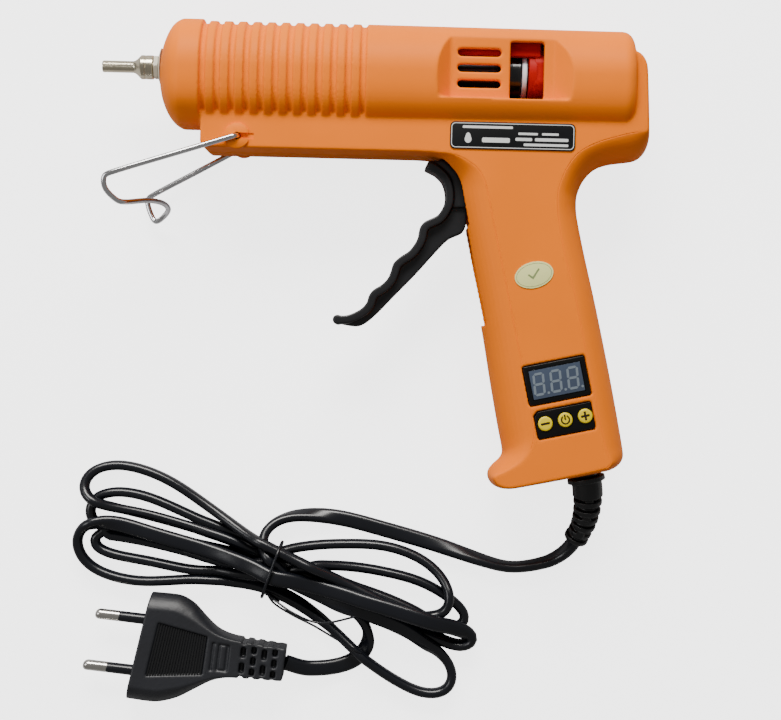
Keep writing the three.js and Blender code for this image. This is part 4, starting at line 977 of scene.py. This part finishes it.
stand = finished(tube("stand", stand_path, STAND_WIRE, 24), "stand_wire", CHROME, "stand", 60)
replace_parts(stand, "wire_stand")

# ---------------------------------------------------------------- repeated shapes


def node_tree(name, inputs):
    tree = bpy.data.node_groups.new(name, "GeometryNodeTree")
    tree.interface.new_socket("Geometry", in_out="INPUT", socket_type="NodeSocketGeometry")
    for label, kind in inputs:
        tree.interface.new_socket(label, in_out="INPUT", socket_type=kind)
    tree.interface.new_socket("Geometry", in_out="OUTPUT", socket_type="NodeSocketGeometry")
    return tree, tree.nodes.new("NodeGroupInput"), tree.nodes.new("NodeGroupOutput")


def connect(tree, pairs):
    for start, end in pairs:
        tree.links.new(start, end)


def finish_tree(tree, entry, instances, output):
    realise = tree.nodes.new("GeometryNodeRealizeInstances")
    paint = tree.nodes.new("GeometryNodeSetMaterial")
    connect(tree, [
        (instances, realise.inputs["Geometry"]),
        (realise.outputs["Geometry"], paint.inputs["Geometry"]),
        (entry.outputs["Material"], paint.inputs["Material"]),
        (paint.outputs["Geometry"], output.inputs["Geometry"]),
    ])


def row_tree():
    """Copies of a source shape in a straight row; each one may be longer than the last along y."""
    tree, entry, output = node_tree("row_of_copies", [
        ("Source", "NodeSocketObject"), ("Copies", "NodeSocketInt"), ("Start", "NodeSocketVector"),
        ("Step", "NodeSocketVector"), ("Growth", "NodeSocketFloat"), ("Material", "NodeSocketMaterial"),
    ])
    line = tree.nodes.new("GeometryNodeMeshLine")
    line.mode = "OFFSET"
    source = tree.nodes.new("GeometryNodeObjectInfo")
    place = tree.nodes.new("GeometryNodeInstanceOnPoints")
    number = tree.nodes.new("GeometryNodeInputIndex")
    longer = tree.nodes.new("ShaderNodeMath")
    longer.operation = "MULTIPLY_ADD"
    longer.inputs[2].default_value = 1.0
    size = tree.nodes.new("ShaderNodeCombineXYZ")
    size.inputs["X"].default_value = 1.0
    size.inputs["Z"].default_value = 1.0
    connect(tree, [
        (entry.outputs["Copies"], line.inputs["Count"]),
        (entry.outputs["Start"], line.inputs["Start Location"]),
        (entry.outputs["Step"], line.inputs["Offset"]),
        (entry.outputs["Source"], source.inputs["Object"]),
        (number.outputs["Index"], longer.inputs[0]),
        (entry.outputs["Growth"], longer.inputs[1]),
        (longer.outputs["Value"], size.inputs["Y"]),
        (line.outputs["Mesh"], place.inputs["Points"]),
        (source.outputs["Geometry"], place.inputs["Instance"]),
        (size.outputs["Vector"], place.inputs["Scale"]),
    ])
    finish_tree(tree, entry, place.outputs["Instances"], output)
    return tree


def place_tree():
    """A copy of a source shape at every vertex of the carrying mesh."""
    tree, entry, output = node_tree("copies_at_places", [
        ("Source", "NodeSocketObject"), ("Material", "NodeSocketMaterial"),
    ])
    source = tree.nodes.new("GeometryNodeObjectInfo")
    place = tree.nodes.new("GeometryNodeInstanceOnPoints")
    connect(tree, [
        (entry.outputs["Geometry"], place.inputs["Points"]),
        (entry.outputs["Source"], source.inputs["Object"]),
        (source.outputs["Geometry"], place.inputs["Instance"]),
    ])
    finish_tree(tree, entry, place.outputs["Instances"], output)
    return tree


ROW_TREE = row_tree()
PLACE_TREE = place_tree()


def grown(carrier, tree, source, **values):
    """Runs a tree on the carrying object and keeps the result as its plain mesh."""
    modifier = carrier.modifiers.new(tree.name, "NODES")
    modifier.node_group = tree
    values = {"Source": source, **values}
    for item in tree.interface.items_tree:
        if item.in_out == "INPUT" and item.name in values:
            modifier[item.identifier] = values[item.name]
    keep(carrier, evaluated(carrier))
    bpy.data.objects.remove(source)
    return carrier


def row_of(source, copies, start, step, material, growth=0.0):
    carrier = mesh_object("row", [(0, 0, 0)], [])
    return grown(carrier, ROW_TREE, source, Copies=copies, Start=start, Step=step, Growth=growth,
                 Material=material)


# ---------------------------------------------------------------- screws in the right half


def screw():
    top = -BODY_HALF + 0.3
    head = [(0, 0), (0, 2.2), (0.15, 2.5), (0.4, 2.7), (1.7, 2.7), (1.75, 1.3)]
    profile = [(top + z, radius) for z, radius in head] + [(8, 1.3), (8, 0)]
    long, wide = 1.6, 0.33
    cross = [box(-x, x, -y, y, top - 1, top + 1.1) for x, y in ((long, wide), (wide, long))]
    return cut(turned_z("screw", profile, 32), *cross)


places = mesh_object("places", [(x, y, 0) for x, y in SCREW_PLACES], [])
screws = grown(places, PLACE_TREE, screw(), Material=STEEL)
finished(screws, "housing_screws", STEEL, "gun", 30)
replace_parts(screws, *[f"housing_screw_{i}" for i in range(1, 7)])

# ---------------------------------------------------------------- label and sticker

FACE = BODY_HALF + 0.1


def plate(name, outline, low, high, material, body="gun", edge=0.08):
    return finished(bevelled_prism(outline, low, high, edge, name), name, material, body, 30)


def frame_plate(name, outer, inner, low, high, material, body="gun"):
    ring_shape = prism(outer, low, high, name)
    cut(ring_shape, prism(inner, low - 1, high + 1))
    return finished(ring_shape, name, material, body, 30)


label = plate("label_ground", shifted(rounded_rectangle(LABEL_WIDTH, LABEL_HEIGHT, 1.8), LABEL_X, LABEL_Y),
              FACE, FACE + 0.35, LABEL_DARK)
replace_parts(label, "label_plate")
PRINT_LOW, PRINT_HIGH = FACE + 0.33, FACE + 0.38
frame_plate(
    "label_border",
    shifted(rounded_rectangle(LABEL_WIDTH - 0.9, LABEL_HEIGHT - 0.9, 1.5), LABEL_X, LABEL_Y),
    shifted(rounded_rectangle(LABEL_WIDTH - 1.4, LABEL_HEIGHT - 1.4, 1.3), LABEL_X, LABEL_Y),
    PRINT_LOW, PRINT_HIGH, LABEL_LIGHT)
DROP_X, DROP_Y, DROP_RADIUS, DROP_POINT, DROP_SIDES = -16, -1.4, 1.35, 0.75, 28


def label_print():
    """Plain bars in place of any lettering, with a drop of glue as a sign."""
    bars = [
        (-9, 3.0, 18, 0.9), (5.5, 0.9, 7, 0.8), (13.5, 0.9, 6, 0.8), (4, -1.1, 6, 1.1),
        (14, -1.1, 12, 1.1), (12, -3.0, 16, 0.9), (-6, -1.6, 10, 1.7),
    ]
    shapes = [
        prism(shifted(rounded_rectangle(w, h, 0.3 * h, 3), LABEL_X + x, LABEL_Y + y), PRINT_LOW, PRINT_HIGH)
        for x, y, w, h in bars
    ]
    drop = []
    for k in range(DROP_SIDES):
        angle = 2 * math.pi * k / DROP_SIDES
        radius = DROP_RADIUS * (1 + DROP_POINT * max(0.0, math.sin(angle)) ** 6)
        x, y = radius * math.cos(angle) * 0.9, radius * math.sin(angle)
        drop.append((LABEL_X + DROP_X + x, LABEL_Y + DROP_Y + y))
    shapes.append(prism(drop, PRINT_LOW, PRINT_HIGH))
    return union(*shapes)


finished(label_print(), "label_bars", LABEL_LIGHT, "gun", 30)


def oval(width, height, sides=72):
    points = [(width / 2 * u, height / 2 * v) for u, v in circle(1, sides)]
    return spun(points, STICKER_TURN, STICKER_X, STICKER_Y)


sticker = plate("sticker_paper", oval(STICKER_WIDTH, STICKER_HEIGHT), FACE, FACE + 0.2, STICKER_PAPER,
                edge=0.05)
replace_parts(sticker, "inspection_sticker")
INK_LOW, INK_HIGH = FACE + 0.18, FACE + 0.23
frame_plate(
    "sticker_ring",
    oval(STICKER_WIDTH - 1.2, STICKER_HEIGHT - 1.2),
    oval(STICKER_WIDTH - 1.5, STICKER_HEIGHT - 1.5),
    INK_LOW, INK_HIGH, STICKER_INK)
tick = [(-2.2, 0.3), (-0.7, -1.5), (2.5, 1.5), (2.1, 2.0), (-0.65, -0.5), (-1.8, 0.8)]
tick = spun(tick, STICKER_TURN, STICKER_X, STICKER_Y)
finished(prism(tick, INK_LOW, INK_HIGH), "sticker_tick", STICKER_INK, "gun", 30)

# ---------------------------------------------------------------- display and buttons

bezel = bevelled_prism(display_outline(0), DISPLAY_TOP - 6, DISPLAY_TOP, 0.3, "bezel")
cut(bezel, prism(display_outline(-1.5, 0.3), DISPLAY_TOP - 1.4, DISPLAY_TOP + 1))
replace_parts(finished(bezel, "display_bezel", PANEL_BLACK, "gun", 30), "display_frame")
lens = plate("display_lens", display_outline(-1.8, 0.3), DISPLAY_TOP - 1.1, DISPLAY_TOP - 0.2, LENS)
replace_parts(lens, "display_window")

DIGIT_WIDTH, DIGIT_HEIGHT, SEGMENT, DIGIT_PITCH, DIGIT_SLANT = 3.4, 7.4, 0.88, 6.2, 0.09


def segment(x, y, length, upright, low, high):
    """One bar of a figure, pointed at both ends."""
    half, wide = length / 2, SEGMENT / 2
    flat = half - wide
    bar = [(-half, 0), (-flat, -wide), (flat, -wide), (half, 0), (flat, wide), (-flat, wide)]
    if upright:
        bar = [(py, px) for px, py in bar]
    return prism([(x + px + DIGIT_SLANT * (y + py), y + py) for px, py in bar], low, high)


def digit():
    """A figure eight in seven bars, with its decimal point."""
    low, high = 0.0, 0.06
    w, h = DIGIT_WIDTH / 2, DIGIT_HEIGHT / 2
    across = DIGIT_WIDTH - 0.25
    upright = h - 0.2
    bars = [segment(0, y, across, False, low, high) for y in (-h, 0, h)]
    bars += [segment(x, y, upright, True, low, high) for x in (-w, w) for y in (-h / 2, h / 2)]
    bars.append(bar_z(w + 1.15, -h + 0.05, 0.48, low, high, 16))
    return union(*bars)


figures = row_of(digit(), 3, (-DIGIT_PITCH - 0.3, 0, 0), (DIGIT_PITCH, 0, 0), DIGIT)
moved(figures, placing(DISPLAY_X, DISPLAY_Y, DISPLAY_TOP - 0.2, RAKE))
finished(figures, "display_figures", DIGIT, "gun", 30)

button_places = on_handle([(i * BUTTON_PITCH + 0.3, 0.2) for i in (-1, 0, 1)], PANEL_X, PANEL_Y)
panel = bevelled_prism(panel_outline(0), PANEL_TOP - 2, PANEL_TOP, 0.25, "panel")
cut(panel, *[bar_z(x, y, BUTTON_RADIUS + GAP, 8, 20) for x, y in button_places])
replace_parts(finished(panel, "panel_plate", PANEL_BLACK, "gun", 30), "button_panel")

BUTTON_TOP = PANEL_TOP + BUTTON_PROUD


def button(x, y):
    low = PANEL_TOP - 2 - GAP
    flange = [(low - 0.8, 0), (low - 0.8, 3.1), (low, 3.1), (low, BUTTON_RADIUS)]
    rounding = [(0.45, 0), (0.2, 0.1), (0.05, 0.35), (0, 0.8), (0, BUTTON_RADIUS)]
    profile = flange + [(BUTTON_TOP - below, BUTTON_RADIUS - inside) for below, inside in rounding]
    return turned_z("button", profile, 48, x, y)


def symbol(kind):
    low, high = BUTTON_TOP - 0.04, BUTTON_TOP + 0.03

    def stroke(width, height, y=0.0):
        return prism(shifted(rounded_rectangle(width, height, 0.15, 3), 0, y), low, high)

    if kind == "minus":
        return stroke(3.2, 0.8)
    if kind == "plus":
        return union(stroke(3.2, 0.8), stroke(0.8, 3.2))
    broken_ring = bar_z(0, 0, 1.7, low, high)
    cut(broken_ring, bar_z(0, 0, 1.15, low - 1, high + 1), box(-0.7, 0.7, 0.3, 2, low - 1, high + 1))
    return union(broken_ring, stroke(0.6, 2, 0.95))


for kind, (x, y) in zip(("minus", "power", "plus"), button_places):
    cap = finished(button(x, y), f"{kind}_cap", YELLOW, kind, 30)
    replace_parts(cap, f"button_{kind}")
    mark = moved(symbol(kind), placing(x, y, 0, RAKE))
    finished(mark, f"{kind}_sign", SYMBOL_INK, kind, 30)

# ---------------------------------------------------------------- strain relief

INWARDS = (-math.sin(RAKE), math.cos(RAKE))
RELIEF_LINE = [
    (RELIEF_X + INWARDS[0] * 6.4, RELIEF_Y + INWARDS[1] * 6.4, 0), (RELIEF_X, RELIEF_Y, 0),
    (160, -151.5, -0.8), (160.3, -158, -3.2), (159.4, -164.6, -7), (157.2, -170.4, -11),
]


# start and end along the relief, which is 1 long, and radius: neck, waist, flange and sleeve
RELIEF_STEPS = [(0, 0.06, 5.6), (0.05, 0.22, 4), (0.205, 0.262, 7), (0.25, 0.42, 5.6)]
RELIEF_RINGS, RING_PITCH, RING_START, RING_WIDTH, RING_RADIUS, RING_TAPER = 5, 0.1, 0.455, 0.055, 5.35, 0.22
WEB_START, WEB_LONG, WEB_HIGH, WEB_THICK = 0.432, 1.6, 4.4, 1.4


def relief_body():
    """Core with rings round it, and webs between the rings that are turned by turns."""
    line = resampled(spline(RELIEF_LINE, 12), 0.25)
    total = len(line) - 1

    def stretch(start, end, half):
        piece = line[int(start * total):max(int(end * total), int(start * total) + 2) + 1]
        return tube("stretch", piece, half, 28)

    body = stretch(0, 1, 3.3)
    rings = [stretch(*step) for step in RELIEF_STEPS]
    for i in range(RELIEF_RINGS):
        start = RING_START + i * RING_PITCH
        rings.append(stretch(start, start + RING_WIDTH, RING_RADIUS - RING_TAPER * i))
    rings.append(stretch(0.95, 1, 4.6))
    union(body, *rings)
    tangents = frames_along(line)
    for i in range(RELIEF_RINGS):
        here = int((WEB_START + i * RING_PITCH) * total)
        centre, tangent = line[here], tangents[here]
        side = np.cross(tangent, (0, 0, 1))
        side /= np.linalg.norm(side)
        other = np.cross(tangent, side)
        axis = side if i % 2 else other
        across = np.cross(tangent, axis)
        union(body, grid_solid("web", [
            [tuple(centre + tangent * along + axis * a * WEB_HIGH + across * b * WEB_THICK)
             for a, b in ((-1, -1), (1, -1), (1, 1), (-1, 1))]
            for along in (-WEB_LONG, WEB_LONG)
        ]))
    return softened(body, 0.26, 3)


relief = finished(relief_body(), "relief_sleeve", RUBBER, "gun", 50)
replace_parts(relief, "strain_relief")

# ---------------------------------------------------------------- plug

PLUG_SIDE = [
    (0, 6.1), (17, 7.3), (21.5, 8), (26.5, 10), (32, 14), (37, 17.8), (42, 20), (46, 20.6),
    (PLUG_LENGTH, 20.4),
]
PLUG_SLANT, SLANT_START, SLANT_LENGTH = 0.12, 22, 25
PLUG_CREST = math.radians(64)  # the side meets the flat top at a crest


def placed_plug(obj):
    """Slants the plug's front, then lays it where the tail ends."""
    points = np.empty(3 * len(obj.data.vertices))
    obj.data.vertices.foreach_get("co", points)
    points = points.reshape(-1, 3)
    ahead = np.clip((points[:, 0] - SLANT_START) / SLANT_LENGTH, 0, 1)
    points[:, 0] += PLUG_SLANT * points[:, 1] * ahead * ahead * (3 - 2 * ahead)
    obj.data.vertices.foreach_set("co", points.ravel())
    return moved(obj, placing(PLUG_X, PLUG_Y, TABLE_Z + PLUG_HALF, math.pi + PLUG_TURN))


PLUG_NECK, GRIP_DEPTH = 6.0, 0.85
RELIEF_ROWS, ROW_START, ROW_PITCH, ROW_WIDTH = 4, 2.7, 3.95, 1.9
PAIRS, THREES = ((-4.9, -1.0), (1.0, 4.9)), ((-5.4, -2.7), (-1.6, 1.6), (2.7, 5.4))
CUT_HIGH = 9  # past the plug's skin


def from_face(z, depth, top=None):
    """Heights from `depth` under the upper or lower face of the plug (z is 1 or -1) to past it."""
    return span(z * (PLUG_HALF - depth), z * (CUT_HIGH if top is None else PLUG_HALF - top))


def tapered(x0, half0, x1, half1, heights):
    return prism([(x0, -half0), (x1, -half1), (x1, half1), (x0, half0)], *heights)


def plug_shell():
    upper = [tuple(p) for p in spline(PLUG_SIDE, 5)]
    outline = [(x, -y) for x, y in upper] + upper[::-1]
    body = []
    for level in range(-8, 9):
        angle = level / 8 * PLUG_CREST
        inward = (1 - math.cos(angle)) / (1 - math.cos(PLUG_CREST))
        z = PLUG_HALF * math.sin(angle) / math.sin(PLUG_CREST)
        section = []
        for x, y in outline:
            wing = max(abs(y) - PLUG_NECK, 0.2)
            pull = inward * min(wing * 0.42, 5.5)
            section.append((x, y - math.copysign(pull, y), z))
        body.append(section)
    shell = grid_solid("plug", body)
    for i in range(RELIEF_ROWS):
        x = ROW_START + i * ROW_PITCH
        end = x + ROW_WIDTH
        for z in (-1, 1):
            windows = PAIRS if i % 2 else THREES
            cut(shell, *[box(x, end, y0, y1, *from_face(z, 2.6)) for y0, y1 in windows])
        cut(shell, *[box(x, end, *span(y * PLUG_NECK, y * 9), -CUT_HIGH, CUT_HIGH) for y in (1, -1)])
    for z in (-1, 1):
        cut(shell, tapered(29.5, 7.2, 49.5, 10.2, from_face(z, GRIP_DEPTH)))
        cut(shell, tapered(20.6, 5, 27.4, 5.4, from_face(z, 0.8)))
        ridge = from_face(z, 2, 0.1)
        union(shell, tapered(22, 4.4, 24, 4.4, ridge), tapered(25, 4.6, 26.4, 4.6, ridge))
    for y in (-PIN_SPACING / 2, PIN_SPACING / 2):
        cut(shell, moved(bar_x(2.2, PLUG_LENGTH - 6.3, PLUG_LENGTH + 1), placing(0, y)))
    return softened(shell, 0.36, 3)


plug = finished(placed_plug(plug_shell()), "plug_shell", PLUG_BLACK, "gun", 50)
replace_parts(plug, "plug_body")

RIB_ROWS, RIB_STEP, RIB_GROWTH, RIB_HALF, RIB_REACH = 20, 0.98, 0.0205, 0.24, 7.1


def grip_ribs(z):
    rib = tapered(-RIB_HALF, RIB_REACH, RIB_HALF, RIB_REACH, from_face(z, 0.92, 0.02))
    return row_of(rib, RIB_ROWS, (30.2, 0, 0), (RIB_STEP, 0, 0), PLUG_BLACK, RIB_GROWTH)


grip = joined(grip_ribs(1), grip_ribs(-1))
grip = finished(placed_plug(grip), "plug_grip", RUBBER, "gun", 30)


def on_pin_axis(obj, side):
    return placed_plug(moved(obj, placing(0, side * PIN_SPACING / 2)))


def plug_pin():
    tip = PLUG_LENGTH + PIN_LENGTH
    sleeve_end = PLUG_LENGTH + PIN_SLEEVE
    profile = [(PLUG_LENGTH - 6, 0), (PLUG_LENGTH - 6, 1.75), (sleeve_end, 1.75), (sleeve_end, 1.98),
               (sleeve_end + 0.15, PIN_RADIUS), (tip - PIN_ROUND, PIN_RADIUS)]
    for k in range(1, 8):
        angle = k / 7 * math.pi / 2
        x = tip - PIN_ROUND + PIN_ROUND * math.sin(angle)
        profile.append((x, PIN_RADIUS * max(math.cos(angle), 0) ** 0.8))
    return turned("pin", profile, 40)


def pin_jacket():
    back, end = PLUG_LENGTH - 0.6, PLUG_LENGTH + PIN_SLEEVE - 0.1
    profile = [(back, 1.8), (back, 2.05), (end - 0.4, 2.0), (end, 1.9), (end, 1.8)]
    return turned("jacket", profile, 40, 0, True)


pins = []
for side, node in ((1, "plug_pin_lower"), (-1, "plug_pin_upper")):
    pin = finished(on_pin_axis(plug_pin(), side), node + "_fine", PIN_METAL, "gun", 30)
    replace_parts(pin, node)
    jacket = finished(on_pin_axis(pin_jacket(), side), node + "_jacket", CORD_BLACK, "gun", 30)
    pins += [pin, jacket]

# ---------------------------------------------------------------- twist tie


def tie_wire():
    """Thin wire round the bundle."""
    ahead = np.array([math.cos(TIE_TURN), math.sin(TIE_TURN), 0])
    across = np.array([-math.sin(TIE_TURN), math.cos(TIE_TURN), 0])
    middle = np.array([TIE_X, TIE_Y, 0.0])
    near = rest[np.abs((rest[:, :3] - middle) @ ahead) < TIE_SEARCH]
    side = (near[:, :3] - middle) @ across
    near, side = near[np.abs(side) < TIE_REACH], side[np.abs(side) < TIE_REACH]
    high, low = near[:, 2].max() + TIE_ABOVE, TABLE_Z + TIE_RADIUS
    left, right = side.min() - TIE_BESIDE, side.max() + TIE_BESIDE
    loop = []
    for u, v in circle(1, 40):
        bulge = 1 / (abs(u) ** 3 + abs(v) ** 3) ** (1 / 3)
        loop.append(middle + across * ((right + left) / 2 + (right - left) / 2 * u * bulge)
                    + np.array([0, 0, (high + low) / 2 + (high - low) / 2 * v * bulge]))
    return np.array(loop + [loop[0]])


tie = tube("tie", resampled(spline(tie_wire(), 2), 0.6), TIE_RADIUS, 12)
tie = finished(tie, "tie_loop", CORD_BLACK, "gun", 60)
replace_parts(tie, "twist_tie")
KNOT_X, KNOT_Y, TWIST_RADIUS = 41.5, -193.6, 0.75
TIE_ENDS = [
    [(KNOT_X, KNOT_Y, 8), (46, -196.4, 12), (52, -200, 14), (59.5, -203.2, 14),
     (66, -203.2, 15.5), (75.5, -200.6, 17)],
    [(KNOT_X, KNOT_Y, 6), (45, -197.4, 10), (52, -201.8, 9), (60, -205.6, 9),
     (68, -210, 9.5), (78, -215.4, 9)],
]
for i, end in enumerate(TIE_ENDS):
    line = spline([(x, y, TABLE_Z + z) for x, y, z in end], 10)
    wire = tube("tie_end", line, 0.42, 10)
    finished(wire, f"tie_end_{i + 1}", CORD_BLACK, "gun", 60)


def twisted_strand(start):
    """One wire of the short twist where the two ends leave the tie."""
    turns = []
    for t in range(12):
        angle = start + t * 1.1
        turns.append((
            KNOT_X + TWIST_RADIUS * math.cos(angle) + t * 0.42,
            KNOT_Y - t * 0.27,
            TABLE_Z + 7.5 + TWIST_RADIUS * math.sin(angle) + t * 0.25,
        ))
    return tube("twist", spline(turns, 4), 0.5, 10)


twist = [twisted_strand(start) for start in (0, math.pi)]
finished(union(*twist), "tie_twist", CORD_BLACK, "gun", 60)

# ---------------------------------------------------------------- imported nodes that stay

KEPT = {
    "melt_chamber": ALUMINIUM, "heater_plate": WHITE, "insulation_sleeve": MICA, "sleeve_clip": STEEL,
    "drive_pin": STEEL, "stick_clamp": STEEL, "trigger_pin": STEEL, "trigger_spring": STEEL,
    "control_board": BOARD, "cord_clamp": PANEL_BLACK,
    "cord_clamp_screw_1": STEEL, "cord_clamp_screw_2": STEEL,
    "inner_lead": CORD_BLACK,
}
for node, material in KEPT.items():
    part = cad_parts[node]
    if not part.material_slots:
        part.data.materials.append(material)
    for place in part.material_slots:
        place.material = material

# ---------------------------------------------------------------- studio

make_camera()
make_world(0.24)
centre = ORIGIN + Vector((86, -105, 0)) * MM
soft_light("top_light", centre + Vector((-0.12, 1.15, 0.78)), centre, (1.0, 0.5), 33, (1, 0.98, 0.94))
soft_light("left_light", centre + Vector((-0.95, 0.15, 0.85)), centre, (0.5, 0.5), 4)


def pale_paper():
    """White paper that the camera sees brightly lit from behind."""
    f = Finish("pale_paper", 0.9)
    f.colour(f.ramp(f.noise(9, 3), linear(0.74, 0.74, 0.75), linear(0.77, 0.77, 0.78)))
    seen = f.nodes.new("ShaderNodeLightPath").outputs["Is Camera Ray"]
    f.shader.inputs["Emission Color"].default_value = (1, 1, 1, 1)
    f.links.new(f.between(seen, 0, 3.2), f.shader.inputs["Emission Strength"])
    return f.material


paper = pale_paper()
floor = mesh_object("floor", [(-2, -2, 0), (2, -2, 0), (2, 2, 0), (-2, 2, 0)], [(0, 1, 2, 3)])
floor.data.materials.append(paper)
